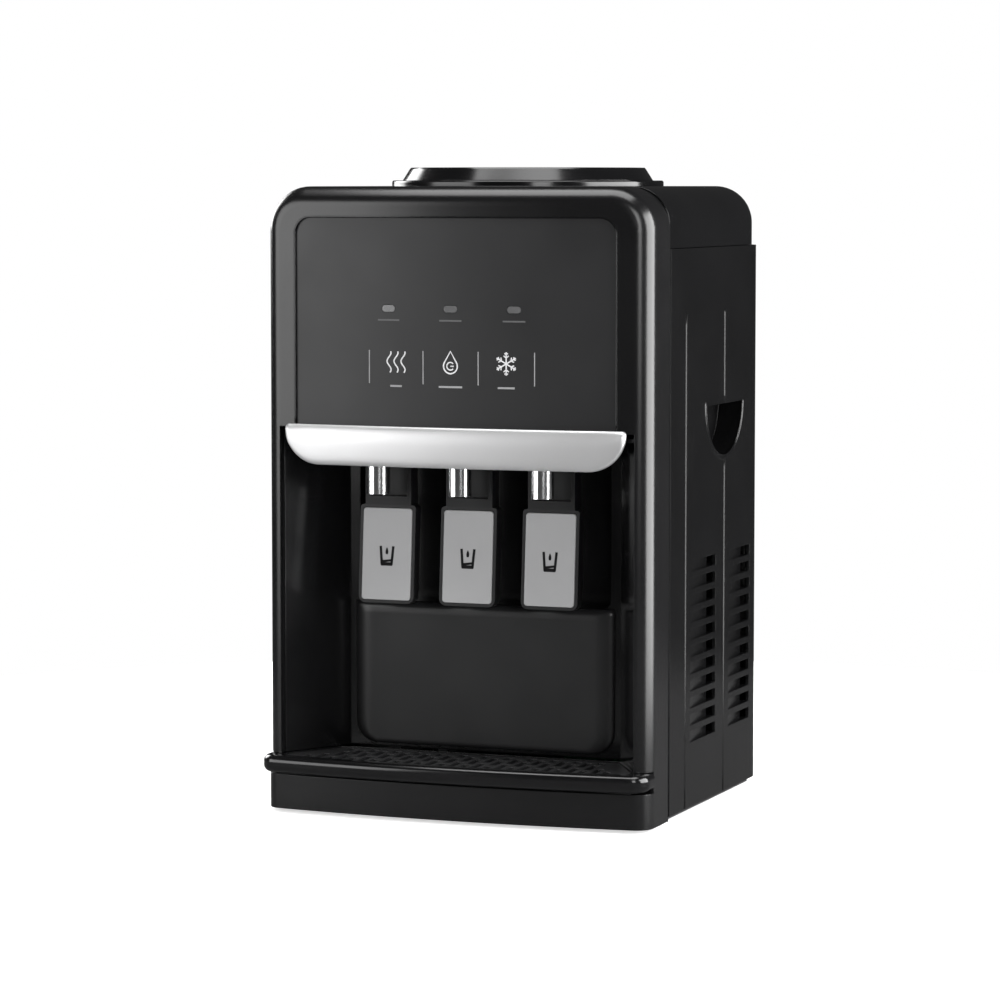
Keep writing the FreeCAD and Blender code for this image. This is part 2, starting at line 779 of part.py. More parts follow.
def make_tap(kind, side):
    x = f"{side} * tap_pitch"
    # valve body with the bored tail that passes through the wall of the bay
    head = rod(f"{kind}_head", "tap_radius", x, "spout_y", "tap_z", "tap_head - tap_z")
    tail = rod(f"{kind}_tail", "tail_radius", x, "spout_y", "tail_z", "bay_back - spout_y + 18", "y")
    ear_left = box(f"{kind}_ear_left", f"{x} - 12.5", f"{x} - 9.5", "spout_y", "pivot_y + 3.5",
                   "tap_z + 2", "tap_head")
    ear_right = box(f"{kind}_ear_right", f"{x} + 9.5", f"{x} + 12.5", "spout_y", "pivot_y + 3.5",
                    "tap_z + 2", "tap_head")
    flange = rod(f"{kind}_flange", 9, x, "bay_back - 3", "tail_z", 3, "y")
    solid = fuse(f"{kind}_solid", head, tail, ear_left, ear_right, flange)
    chamber = rod(f"{kind}_chamber", "spring_radius + 1", x, "spout_y", "tap_z + 3", "tap_head - tap_z")
    outlet = rod(f"{kind}_outlet", "spout_bore", x, "spout_y", "tap_z - 1", 6)
    way = rod(f"{kind}_way", "hose_bore - 0.5", x, "spout_y + 3", "tail_z", "bay_back - spout_y + 20",
        "y")
    pin_hole = rod(f"{kind}_pin_hole", "pivot_radius + part_gap / 4", f"{x} - 20", "pivot_y", "pivot_z",
        40, "x")
    piece(cut(f"{kind}_valve", solid, chamber, outlet, way, pin_hole), f"{kind}_tap_body")

    tube = rod(f"{kind}_spout_tube", "spout_radius", x, "spout_y", "spout_z", "tap_z - spout_z")
    bore = rod(f"{kind}_spout_bore", "spout_bore", x, "spout_y", "spout_z - 1", "tap_z - spout_z + 2")
    piece(cut(f"{kind}_spout_cut", tube, bore), f"{kind}_spout")

    # plunger that the lever lifts off the outlet, with its return spring above it
    disc = rod(f"{kind}_disc", "spring_radius + 0.8", x, "spout_y", "tap_z + 3 + part_gap", 3)
    stem = rod(f"{kind}_stem", "plunger_radius - 1", x, "spout_y", "tap_z + 6", "tap_head - tap_z - 7")
    piece(fuse(f"{kind}_plunger_solid", disc, stem), f"{kind}_valve_plunger")
    make_spring(kind, x)
    make_lever(kind, x)


def make_spring(kind, x):
    """A compression spring on the plunger's disc, as one swept wire."""
    radius = number("spring_radius - 1")
    low = number("tap_z + 6.2 + spring_wire + part_gap")
    high = number("tap_head - spring_wire - 1")
    steps = 16 * number("spring_turns")
    points = []
    for n in range(round(steps) + 1):
        angle = math.radians(22.5 * n)
        points.append(FreeCAD.Vector(radius * math.cos(angle), radius * math.sin(angle),
            (high - low) * n / steps))
    path = Part.BSplineCurve()
    path.interpolate(points)
    ring = Part.Wire([Part.makeCircle(number("spring_wire"), points[0], path.tangent(0)[0])])
    coil = Part.Wire([path.toShape()]).makePipeShell([ring], True, True)
    item = doc.addObject("Part::Feature", f"{kind}_spring")
    item.Shape = coil
    item.Placement = FreeCAD.Placement(FreeCAD.Vector(number(x), number("spout_y"), low),
        FreeCAD.Rotation())
    piece(item, f"{kind}_valve_spring")


def make_lever(kind, x):
    """The push lever: a forked arm hung on the pivot pin, and the pad that a cup pushes."""
    half = number("arm_wide") / 2
    top = number("pivot_z + 4")
    pad_top = "pad_z + pad_tall"
    arm = box(f"{kind}_arm_block", f"{x} - arm_wide / 2", f"{x} + arm_wide / 2",
              "pad_y + pad_lean", "pad_y + pad_lean + pad_thick + 3", f"{pad_top} - 6", "pivot_z + 4")
    hollow = box(f"{kind}_arm_hollow", f"{x} - arm_wide / 2 + arm_wall", f"{x} + arm_wide / 2 - arm_wall",
                 "pad_y + pad_lean - 1", "pad_y + pad_lean + pad_thick - arm_wall + 3",
                 f"{pad_top} + 6", "pivot_z + 10")
    notch = box(f"{kind}_arm_notch", f"{x} - arm_wide / 2 + arm_wall", f"{x} + arm_wide / 2 - arm_wall",
                "pad_y - 5", "bay_back", "tap_z - 4", "pivot_z + 10")
    arm_open = cut(f"{kind}_arm_open", arm, hollow, notch)
    pad = prism(f"{kind}_pad_block", "yz", [
        ("pad_y", "pad_z"), ("pad_y + pad_thick", "pad_z"),
        ("pad_y + pad_lean + pad_thick", pad_top), ("pad_y + pad_lean", pad_top)],
        f"{x} - pad_wide / 2", f"{x} + pad_wide / 2")
    low = number("pad_z")

    def sides(edge):
        return span(edge, "X") < 0.01 and span(edge, "Z") < 0.01
    soften(pad, 5, lambda edge: sides(edge) and abs(middle(edge).z - low) < 0.01)
    high = number(pad_top)
    soften(pad, 2.5, lambda edge: sides(edge) and abs(middle(edge).z - high) < 0.01)
    lean = "pad_lean / pad_tall"
    recess = prism(f"{kind}_recess", "yz", [
        (f"pad_y - 5 + {lean} * insert_edge", "pad_z + insert_edge"),
        (f"pad_y + insert_thick + {lean} * insert_edge", "pad_z + insert_edge"),
        (f"pad_y + insert_thick + pad_lean - {lean} * insert_edge", f"{pad_top} - insert_edge"),
        (f"pad_y - 5 + pad_lean - {lean} * insert_edge", f"{pad_top} - insert_edge")],
        f"{x} - pad_wide / 2 + insert_edge", f"{x} + pad_wide / 2 - insert_edge")
    soften(recess, 2.5, sides)
    lever = cut(f"{kind}_lever_cut", fuse(f"{kind}_lever_solid", arm_open, pad), recess,
                rod(f"{kind}_lever_pin_hole", "pivot_radius + 0.05", f"{x} - 30", "pivot_y", "pivot_z",
                    60, "x"))
    piece(lever, f"{kind}_lever")

    insert = prism(f"{kind}_insert", "yz", [
        (f"pad_y - 0.4 + {lean} * insert_edge", "pad_z + insert_edge + part_gap"),
        (f"pad_y + insert_thick - part_gap / 2 + {lean} * insert_edge", "pad_z + insert_edge + part_gap"),
        (f"pad_y + insert_thick - part_gap / 2 + pad_lean - {lean} * insert_edge",
         f"{pad_top} - insert_edge - part_gap"),
        (f"pad_y - 0.4 + pad_lean - {lean} * insert_edge", f"{pad_top} - insert_edge - part_gap")],
        f"{x} - pad_wide / 2 + insert_edge + part_gap", f"{x} + pad_wide / 2 - insert_edge - part_gap")
    soften(insert, 2.3, sides)
    piece(insert, f"{kind}_pad_insert")


def make_tap_hardware():
    nuts = []
    pins = []
    for kind, side in TAPS:
        x = f"{side} * tap_pitch"
        nut = rod(f"{kind}_nut_solid", "nut_radius", x, "bay_back + wall", "tail_z", "nut_thick", "y")
        hole = rod(f"{kind}_nut_hole", "tail_radius + 0.1", x, "bay_back", "tail_z", 20, "y")
        nuts.append(cut(f"{kind}_nut", nut, hole))
        pins.append(rod(f"{kind}_pin", "pivot_radius", f"{x} - arm_wide / 2 - 0.5", "pivot_y", "pivot_z",
                        "arm_wide + 1", "x"))
    piece(group("nuts", *nuts), "tap_nuts")
    piece(group("pins", *pins), "lever_pivot_pins")


# ---------------------------------------------------------------- sides, rear and top

def make_side():
    outline = [
        ("side_x - wall", "seam_y + fit_gap"), ("side_x", "seam_y + fit_gap"), ("side_x", "back_y"),
        ("rear_half + fit_gap", "back_y"), ("rear_half + fit_gap", "back_y - wall"),
        ("side_x - wall", "back_y - wall")]
    body = prism("side_block", "xy", outline, "side_z", "side_head")
    outer_x = number("side_x")
    back = number("back_y")
    soften(body, "rear_corner", lambda edge: upright(edge) and abs(middle(edge).x - outer_x) < 0.01
           and abs(middle(edge).y - back) < 0.01)
    inner_x = number("side_x - wall")
    inner_y = number("back_y - wall")
    soften(body, "rear_corner - wall", lambda edge: upright(edge) and abs(middle(edge).x - inner_x) < 0.01
           and abs(middle(edge).y - inner_y) < 0.01)
    # two moulded grooves with rounded tops
    grooves = []
    for n, at in enumerate(("groove_front", "groove_rear")):
        y = f"end_y + {at}"
        grooves.append(box(f"groove_{n}", "side_x - groove_deep", "side_x + 2", f"{y} - groove_wide / 2",
                           f"{y} + groove_wide / 2", "side_z - 1", "foot_height + groove_top"))
        grooves.append(rod(f"groove_end_{n}", "groove_wide / 2", "side_x - groove_deep", y,
                           "foot_height + groove_top", 5, "x"))
    # hand grip: flat top, half an ellipse below, moulded inwards as a closed cup
    grip_y = "end_y + grip_centre"
    grip_z = "foot_height + grip_top"

    def grip(name, grow, x_low, x_high):
        half_long = number("grip_long / 2") + grow
        tall = number("grip_tall") + grow
        arc = Part.Ellipse(FreeCAD.Vector(), half_long, tall).toShape(math.pi, 2 * math.pi)
        corners = [FreeCAD.Vector(half_long, 0, 0), FreeCAD.Vector(half_long, grow, 0),
                   FreeCAD.Vector(-half_long, grow, 0), FreeCAD.Vector(-half_long, 0, 0)]
        if grow == 0:
            corners = [corners[0], corners[3]]
        lid = [Part.LineSegment(first, last).toShape() for first, last in zip(corners, corners[1:])]
        face = Part.Face(Part.Wire([arc] + lid))
        item = doc.addObject("Part::Feature", name)
        item.Shape = face.extrude(FreeCAD.Vector(0, 0, number(f"({x_high}) - ({x_low})")))
        item.Placement = FreeCAD.Placement(
            FreeCAD.Vector(number(x_low), number(grip_y), number(grip_z)),
            FreeCAD.Rotation(FreeCAD.Vector(1, 1, 1), 120))
        return item
    cup = cut("grip_cup", grip("grip_outer", number("wall"), "side_x - grip_deep - wall",
        "side_x - wall / 2"),
              grip("grip_inner", 0, "side_x - grip_deep", "side_x + 5"))
    mouth = grip("grip_mouth", 0, "side_x - wall * 2", "side_x + 5")
    # louvers: each slot keeps a vane that runs inwards towards the rear
    slots = []
    vanes = []
    for column, (start, long) in enumerate((("louver_front", "louver_front_long"),
        ("louver_rear", "louver_rear_long"))):
        for n in range(int(number("louver_count"))):
            z = f"foot_height + louver_bottom + {n} * louver_pitch"
            slots.append(box(f"slot_{column}_{n}", "side_x - wall - 3", "side_x + 3", f"end_y + {start}",
                             f"end_y + {start} + {long}", z, f"{z} + louver_tall"))
            vanes.append(prism(f"vane_{column}_{n}", "xy", [
                ("side_x - 1.4", f"end_y + {start} - 1"), ("side_x - 0.2", f"end_y + {start} - 1"),
                ("side_x - 4.8", f"end_y + {start} + {long} - 6"),
                ("side_x - 6", f"end_y + {start} + {long} - 6")], f"{z} - 1", f"{z} + louver_tall + 1"))
    ribs = []
    for column, (start, long) in enumerate((("louver_front", "louver_front_long"),
        ("louver_rear", "louver_rear_long"))):
        for n in range(int(number("louver_count")) + 1):
            z = f"foot_height + louver_bottom + {n} * louver_pitch - (louver_pitch - louver_tall)"
            ribs.append(box(f"rib_{column}_{n}", "side_x - 6", "side_x - wall + 0.5",
                f"end_y + {start} - 2",
                            f"end_y + {start} + {long} + 2", f"{z} + 0.01",
                            f"{z} + louver_pitch - louver_tall - 0.01"))
    panel_cut = cut("side_cut", body, *grooves, mouth, *slots)
    right = piece(fuse("side_right", panel_cut, cup, *vanes, *ribs), "side_panel_right")
    piece(mirrored("side_left", right), "side_panel_left")


def make_rear():
    plate = box("rear_plate", "-rear_half", "rear_half", "rear_y - wall", "rear_y", "side_z", "side_head")
    flanges = [
        box(f"rear_flange_{n}", x0, x1, "back_y - wall * 2 - 1.8", "back_y - wall - fit_gap", "side_z",
            "side_head")
        for n, (x0, x1) in enumerate((("-rear_half - 9", "-rear_half + 3"),
            ("rear_half - 3", "rear_half + 9")))
    ]
    drain_box = box("drain_box", "hot_x - drain_cup - wall", "hot_x + drain_cup + wall",
        "rear_y - 20 - wall", "rear_y",
                    "foot_height + drain_height - drain_cup - wall",
                    "foot_height + drain_height + drain_cup + wall")
    solid = fuse("rear_solid", plate, *flanges, drain_box)
    drain_room = box("drain_room", "hot_x - drain_cup", "hot_x + drain_cup", "rear_y - 20", "rear_y + 5",
                     "foot_height + drain_height - drain_cup", "foot_height + drain_height + drain_cup")
    drain_hole = rod("drain_hole", "hose_radius + 1.5 + part_gap", "hot_x", "rear_y - 40",
                     "foot_height + drain_height", 60, "y")
    switch_holes = [
        box(f"switch_hole_{n}", f"switch_x + {n} * switch_pitch - switch_wide / 2 - part_gap",
            f"switch_x + {n} * switch_pitch + switch_wide / 2 + part_gap", "rear_y - 20", "rear_y + 5",
            "foot_height + switch_height - switch_tall / 2 - part_gap",
            "foot_height + switch_height + switch_tall / 2 + part_gap")
        for n in (0, 1)
    ]
    gland_hole = rod("gland_hole", 6 + 0.2, "gland_x", "rear_y - 20", "foot_height + gland_height", 40,
        "y")
    vents = []
    for n in range(7):
        z = f"cool_z - fan_wide / 2 + 4 + {n} * 11"
        for side, (x0, x1) in enumerate((("-fan_wide / 2 + 3", "-2"), ("2", "fan_wide / 2 - 3"))):
            vents.append(box(f"vent_{n}_{side}", x0, x1, "rear_y - 10", "rear_y + 5", z, f"{z} + 5"))
    low_vents = [
        box(f"low_vent_{n}_{side}", x0, x1, "rear_y - 10", "rear_y + 5", f"foot_height + 110 + {n} * 11",
            f"foot_height + 115 + {n} * 11")
        for n in range(8) for side, (x0, x1) in enumerate(((-70, -4), (4, 70)))
    ]
    return piece(cut("rear", solid, drain_room, drain_hole, *switch_holes, gland_hole, *vents,
        *low_vents),
                 "rear_panel")


def make_cover():
    def block(name, inset, low):
        back = f"cover_back - {inset}"
        body = prism(name, "xy", [
            (f"-cover_x + {inset}", "seam_y + fit_gap"), (f"cover_x - {inset}", "seam_y + fit_gap"),
            (f"cover_x - {inset}", back), (f"-cover_x + {inset}", back)], low, f"top_z - {inset}")
        y = number(back)
        soften(body, f"corner_radius - {inset}",
            lambda edge: upright(edge) and abs(middle(edge).y - y) < 0.01)
        top = number(f"top_z - {inset}")
        front = number("seam_y + fit_gap")
        return soften(body, f"top_edge - {inset}", lambda edge: abs(middle(edge).z - top) < 0.01
                      and abs(edge.BoundBox.YMax - front) > 0.01)
    outer = block("cover_outer", 0, "side_head + fit_gap")
    inner = block("cover_inner", "wall", "side_head - 5")
    front_room = box("cover_front_room", "-cover_x + wall + top_edge", "cover_x - wall - top_edge",
        "seam_y - 5",
                     "seam_y + 10", "side_head - 5", "top_z - wall")
    shell = cut("cover_shell", outer, inner, front_room)
    step = rod("cover_step", "step_radius", 0, "well_y", "top_z - 1", "step_height + 1")
    doc.recompute()
    top = number("step_z")
    soft_step = rounded("cover_step_soft", step, 1.5, lambda edge: abs(middle(edge).z - top) < 0.01
                        and span(edge, "X") > 10)
    well = rod("cover_well", "rim_radius - rim_wall - 6", 0, "well_y", "top_z - 20", 40)
    under = rod("cover_under", "step_radius - 4", 0, "well_y", "top_z - 5", "step_height + 5 - wall")
    return piece(cut("cover", fuse("cover_solid", shell, soft_step), well, under), "top_cover")


def make_collar():
    outline = [
        ("rim_radius - rim_wall - 6", "step_z"), ("collar_radius", "step_z"), ("rim_radius", "rim_z - 1"),
        ("rim_radius - 1", "rim_z"), ("rim_radius - rim_wall", "rim_z"),
        ("rim_radius - rim_wall", "step_z + 2"),
        ("rim_radius - rim_wall - 6", "step_z + 2")]
    return piece(lathe("collar", outline, 0, "well_y"), "bottle_collar")


def make_seat():
    outer = "rim_radius - rim_wall - fit_gap"
    shell = [
        (outer, "step_z + 2"), (outer, "step_z + 4"), ("rim_radius - rim_wall - 8", "step_z + 4"),
        ("seat_neck - 2", "top_z - 24"), ("seat_neck - 2", "tank_top - 4"), ("seat_neck", "tank_top - 4"),
        ("seat_neck", "top_z - 27"), ("rim_radius - rim_wall - 7", "step_z + 2")]
    seat = lathe("seat_shell", shell, 0, "well_y")
    arms = [
        box("seat_arm_x", "-seat_neck + 1", "seat_neck - 1", "well_y - 3", "well_y + 3", "tank_top + 8",
            "tank_top + 14"),
        box("seat_arm_y", -3, 3, "well_y - seat_neck + 1", "well_y + seat_neck - 1", "tank_top + 8",
            "tank_top + 14"),
    ]
    bore = rod("seat_bore", "probe_radius - 3 + part_gap", 0, "well_y", "tank_top", 30)
    ring = rod("seat_ring", "probe_radius", 0, "well_y", "tank_top + 8", 6)
    piece(cut("seat", fuse("seat_solid", seat, ring, *arms), bore), "bottle_seat")
    probe = [
        ("probe_radius - 5", "tank_top - 2"), ("probe_radius - 3", "tank_top - 2"),
        ("probe_radius - 3", "tank_top + 14"),
        ("probe_radius - 1", "tank_top + 14"), ("probe_radius - 1", "tank_top + 16"),
        ("probe_radius - 3", "tank_top + 16"), ("probe_radius - 3", "step_z - 12"), ("2", "step_z"),
        ("0", "step_z"), ("0", "step_z - 3"), ("probe_radius - 5", "step_z - 14")]
    spike = lathe("probe_turned", probe, 0, "well_y")
    windows = [
        box("probe_window_x", -20, 20, "well_y - 2", "well_y + 2", "tank_top + 20", "step_z - 16"),
        box("probe_window_y", -2, 2, "well_y - 20", "well_y + 20", "tank_top + 20", "step_z - 16"),
    ]
    piece(cut("probe", spike, *windows), "water_probe")


# ---------------------------------------------------------------- water system

def vessel(name, x, y, radius, wall, low, high, lid):
    """A thin can: open at the top, or closed when lid is true."""
    outer = rod(name + "_outer", radius, x, y, low, f"({high}) - ({low})")
    top = f"({high}) - ({low}) - 2 * ({wall})" if lid else f"({high}) - ({low})"
    inner = rod(name + "_inner", f"({radius}) - ({wall})", x, y, f"({low}) + ({wall})", top)
    return cut(name, outer, inner)


def make_cold_side():
    can = vessel("cold_can", 0, "well_y", "tank_radius", "tank_wall", "tank_z", "tank_top", False)
    outlet_hole = rod("cold_outlet_hole", "hose_bore", 36, "well_y", "tank_z - 5", 10)
    spigot = rod("cold_spigot_outer", "hose_bore + 1", 36, "well_y", "tank_z - 9", 9.5)
    piece(cut("cold_tank_cut", fuse("cold_tank_solid", can, spigot), outlet_hole,
              rod("cold_spigot_bore", "hose_bore", 36, "well_y", "tank_z - 10", 15)), "cold_tank")
    foam = rod("foam_outer", "tank_radius + foam_thick", 0, "well_y", "tank_z - foam_thick + 4",
               "tank_tall + foam_thick - 4")
    room = rod("foam_room", "tank_radius + part_gap", 0, "well_y", "tank_z - part_gap", "tank_tall + 10")
    block_room = box("foam_block_room", "-chip_wide / 2 - 3", "chip_wide / 2 + 3",
        "well_y + tank_radius - 20", "sink_y + 60",
                     "cool_z - chip_wide / 2 - 3", "cool_z + chip_wide / 2 + 3")
    spigot_room = rod("foam_spigot_room", "hose_radius + 1", 36, "well_y", "tank_z - 30", 40)
    flat = box("foam_flat", -100, 100, "sink_y - part_gap", "sink_y + 60", "tank_z - 30", "tank_top + 10")
    foam_body = cut("foam", foam, room, block_room, spigot_room, flat)
    lid = rod("lid_plate", "tank_radius + foam_thick - 2", 0, "well_y", "tank_top + part_gap", 3)
    lid_hole = rod("lid_hole", "seat_neck + 1", 0, "well_y", "tank_top - 5", 20)
    lid_flat = box("lid_flat", -100, 100, "sink_y - part_gap", "sink_y + 60", "tank_top - 5",
        "tank_top + 10")
    piece(group("foam_parts", foam_body, cut("lid", lid, lid_hole, lid_flat)), "tank_insulation")
    plate = rod("baffle_plate", "tank_radius - tank_wall - part_gap", 0, "well_y", "tank_top - 45", 2)
    tube = rod("baffle_tube", 6, 0, "well_y", "tank_z + tank_wall + part_gap",
        "tank_tall - 45 - tank_wall - part_gap + 1")
    bore = rod("baffle_bore", 4.5, 0, "well_y", "tank_z - 5", "tank_tall + 20")
    doors = box("baffle_port", -8, 8, "well_y - 2", "well_y + 2", "tank_z - 5", "tank_z + 5")
    piece(cut("baffle", fuse("baffle_solid", plate, tube), bore, doors), "tank_baffle")


def make_hot_side():
    can = vessel("hot_can", "hot_x", "hot_y", "hot_radius", "tank_wall", "hot_z", "hot_top", True)
    neck = rod("hot_neck", "hose_bore + 1", "hot_x", "hot_y", "hot_top - 0.5", 20)
    neck_bore = rod("hot_neck_bore", "hose_bore", "hot_x", "hot_y", "hot_top - 5", 40)
    drain = rod("hot_drain", "hose_bore + 1", "hot_x", "hot_y", "hot_z - 18", 18.5)
    drain_bore = rod("hot_drain_bore", "hose_bore", "hot_x", "hot_y", "hot_z - 30", 35)
    piece(cut("hot_tank_cut", fuse("hot_tank_solid", can, neck, drain), neck_bore, drain_bore),
        "hot_tank")
    jacket = rod("jacket_outer", "hot_radius + jacket_thick", "hot_x", "hot_y", "hot_z - jacket_thick",
                 "hot_tall + 2 * jacket_thick")
    room = rod("jacket_room", "hot_radius + 3.9", "hot_x", "hot_y", "hot_z - part_gap",
        "hot_tall + 2 * part_gap")
    ways = rod("jacket_ways", "hose_radius + 1", "hot_x", "hot_y", "hot_z - 40", "hot_tall + 80")
    piece(cut("jacket", jacket, room, ways), "hot_tank_jacket")
    band = rod("heater_outer", "hot_radius + 3", "hot_x", "hot_y", "hot_z + 20", 50)
    band_room = rod("heater_room", "hot_radius + 0.1", "hot_x", "hot_y", "hot_z + 10", 70)
    piece(cut("heater", band, band_room), "heater_band")
    stats = [
        rod(f"thermostat_{n}", 6, "hot_x", "hot_y - hot_radius - 3.3", z, 3, "y") for n, z in
        enumerate(("hot_z + 85", "hot_z + 103"))
    ]
    for stat in stats:
        stat.setExpression("Placement.Base.y", bound("hot_y - hot_radius - 3.2"))
    piece(group("thermostats_group", *stats), "thermostats")


def make_hoses():
    radius = number("hose_radius")
    bore = number("hose_bore + 1.1")
    end_y = "bay_back + 19"
    cold = hose("cold_hose_shape", [
        ("tap_pitch", end_y, "tail_z"), ("tap_pitch", "well_y", "tail_z"), ("36", "well_y", "tail_z"),
        ("36", "well_y", "tank_z - 9.3")], 9, radius, bore)
    hot = hose("hot_hose_shape", [
        ("-tap_pitch", end_y, "tail_z"), ("-tap_pitch", "hot_y - 20", "tail_z"),
        ("hot_x", "hot_y", "tail_z - 12"), ("hot_x", "hot_y", "hot_top + 19.8")], 8, radius, bore)
    normal = hose("normal_hose_shape", [
        ("0", end_y, "tail_z"), ("0", "well_y + 5", "tail_z"), ("-20", "well_y + 15", "tail_z"),
        ("-20", "well_y + 15", "tank_z - foam_thick + 3.6")], 8, radius, bore)
    drain = hose("drain_hose_shape", [
        ("hot_x", "hot_y", "hot_z - 18.2"), ("hot_x", "hot_y", "foot_height + drain_height"),
        ("hot_x", "rear_y - 36", "foot_height + drain_height")], 9, radius, bore)
    piece(group("hoses", cold, hot, normal, drain), "silicone_hoses")


# ---------------------------------------------------------------- cooling and electrics

def make_cooling():
    block = box("block_solid", "-chip_wide / 2", "chip_wide / 2", "well_y + 30", "block_y + cold_block",
                "cool_z - chip_wide / 2", "cool_z + chip_wide / 2")
    can_room = rod("block_can_room", "tank_radius + 0.1", 0, "well_y", "cool_z - 60", 120)
    piece(cut("block", block, can_room), "cold_block")
    piece(box("chip", "-chip_wide / 2", "chip_wide / 2", "chip_y", "sink_y", "cool_z - chip_wide / 2",
              "cool_z + chip_wide / 2"), "cooling_module")
    base = box("sink_plate", "-sink_wide / 2", "sink_wide / 2", "sink_y", "sink_y + sink_base",
               "cool_z - fan_wide / 2", "cool_z + fan_wide / 2")
    fins = [
        box(f"fin_{n}", f"-sink_wide / 2 + {n} * (sink_wide - 1.5) / 11",
            f"-sink_wide / 2 + {n} * (sink_wide - 1.5) / 11 + 1.5",
            "sink_y + sink_base - 0.5", "sink_y + sink_base + sink_fin", "cool_z - fan_wide / 2",
            "cool_z + fan_wide / 2")
        for n in range(12)
    ]
    piece(fuse("sink", base, *fins), "heat_sink")
    fan_block = box("fan_block", "-fan_wide / 2", "fan_wide / 2", "fan_y", "fan_y + fan_deep",
                    "cool_z - fan_wide / 2", "cool_z + fan_wide / 2")
    duct = rod("fan_duct", "fan_wide / 2 - 2.5", 0, "fan_y - 1", "cool_z", "fan_deep + 2", "y")
    stays = [
        box("fan_stay_x", "-fan_wide / 2 + 1", "fan_wide / 2 - 1", "fan_y + fan_deep - 2",
            "fan_y + fan_deep",
            "cool_z - 2", "cool_z + 2"),
        box("fan_stay_z", -2, 2, "fan_y + fan_deep - 2", "fan_y + fan_deep", "cool_z - fan_wide / 2 + 1",
            "cool_z + fan_wide / 2 - 1"),
    ]
    boss = rod("fan_boss", "fan_hub", 0, "fan_y + fan_deep - 2", "cool_z", 2, "y")
    shaft = rod("fan_shaft", 1.5, 0, "fan_y + 3", "cool_z", "fan_deep - 4", "y")
    screw_holes = [
        rod(f"fan_screw_hole_{n}", "screw_radius + 0.3", f"{sx} * (fan_wide / 2 - 5)", "fan_y - 1",
            f"cool_z + {sz} * (fan_wide / 2 - 5)", "fan_deep + 2", "y")
        for n, (sx, sz) in enumerate(((-1, -1), (1, -1), (1, 1), (-1, 1)))
    ]
    piece(cut("fan_frame_cut", fuse("fan_frame_solid", cut("fan_ring", fan_block, duct), *stays, boss,
        shaft),
              *screw_holes), "fan_frame")
    hub = rod("rotor_hub", "fan_hub", 0, "fan_y + 1", "cool_z", "fan_deep - 4", "y")
    blades = []
    for n in range(7):
        blade = box(f"blade_{n}", "fan_hub - 1", "fan_wide / 2 - 4", "fan_y + 5.2", "fan_y + 6.6", -6, 6)
        turn = FreeCAD.Rotation(FreeCAD.Vector(0, 1, 0), n * 360 / 7)
        tilt = FreeCAD.Rotation(FreeCAD.Vector(1, 0, 0), 32)
        spoke = doc.addObject("Part::Compound", f"spoke_{n}")
        blade.Placement = FreeCAD.Placement()
        blade.setExpression("Placement.Base.x", bound("fan_hub - 1"))
        blade.setExpression("Placement.Base.y", "-0.7")
        blade.setExpression("Placement.Base.z", "-6")
        spoke.Links = [blade]
        spoke.Placement = FreeCAD.Placement(FreeCAD.Vector(), turn.multiply(tilt))
        spoke.setExpression("Placement.Base.y", bound("fan_y + 6.5"))
        spoke.setExpression("Placement.Base.z", bound("cool_z"))
        blades.append(spoke)
    shaft_room = rod("rotor_bore", 1.5 + 0.05, 0, "fan_y", "cool_z", 20, "y")
    piece(cut("rotor", fuse("rotor_solid", hub, *blades), shaft_room), "fan_rotor")
    screws = []
    for n, (sx, sz) in enumerate(((-1, -1), (1, -1), (1, 1), (-1, 1))):
        x = f"{sx} * (fan_wide / 2 - 5)"
        z = f"cool_z + {sz} * (fan_wide / 2 - 5)"
        head = rod(f"fan_screw_head_{n}", 3, x, "fan_y + fan_deep", z, 1.8, "y")
        stem = rod(f"fan_screw_stem_{n}", "screw_radius", x, "fan_y + 0.1", z, "fan_deep + 0.4", "y")
        screws.append(fuse(f"fan_screw_{n}", head, stem))
    piece(group("fan_screws_group", *screws), "fan_screws")


def make_electrics():
    board = box("power_plate", 18, 106, -2, 90, "foot_height + 16", "foot_height + 17.6")
    transformer = box("power_transformer", 30, 62, 20, 50, "foot_height + 17.5", "foot_height + 44")
    relay = box("power_relay", 74, 92, 16, 32, "foot_height + 17.5", "foot_height + 32")
    capacitor = rod("power_capacitor", 8, 84, 62, "foot_height + 17.5", 26)
    piece(fuse("power", board, transformer, relay, capacitor), "power_board")
    bodies = []
    for n, kind in enumerate(("hot", "cold")):
        x = f"switch_x + {n} * switch_pitch"
        z = "foot_height + switch_height"
        shell = box(f"{kind}_switch_shell", f"{x} - switch_wide / 2", f"{x} + switch_wide / 2",
            "rear_y - 14", "rear_y",
                    f"{z} - switch_tall / 2", f"{z} + switch_tall / 2")
        flange = box(f"{kind}_switch_flange", f"{x} - switch_wide / 2 - 1.5",
            f"{x} + switch_wide / 2 + 1.5", "rear_y",
                     "rear_y + rear_inset", f"{z} - switch_tall / 2 - 1.5",
                     f"{z} + switch_tall / 2 + 1.5")
        room = box(f"{kind}_switch_room", f"{x} - switch_wide / 2 + 2", f"{x} + switch_wide / 2 - 2",
            "rear_y - 8",
                   "rear_y + 5", f"{z} - switch_tall / 2 + 2", f"{z} + switch_tall / 2 - 2")
        bodies.append(cut(f"{kind}_switch_body", fuse(f"{kind}_switch_solid", shell, flange), room))
        rocker = prism(f"{kind}_rocker_block", "yz", [
            ("rear_y - 3", f"{z} - switch_tall / 2 + 3"), ("rear_y - 2.6", f"{z} - switch_tall / 2 + 3"),
            ("rear_y - 0.8", z), ("rear_y + 0.8", f"{z} + switch_tall / 2 - 3"),
            ("rear_y - 3", f"{z} + switch_tall / 2 - 3"), ("rear_y - 5.5", z)],
            f"{x} - switch_wide / 2 + 2.3", f"{x} + switch_wide / 2 - 2.3")
        piece(rocker, f"{kind}_switch_rocker")
    piece(group("switch_bodies", *bodies), "switch_housings")


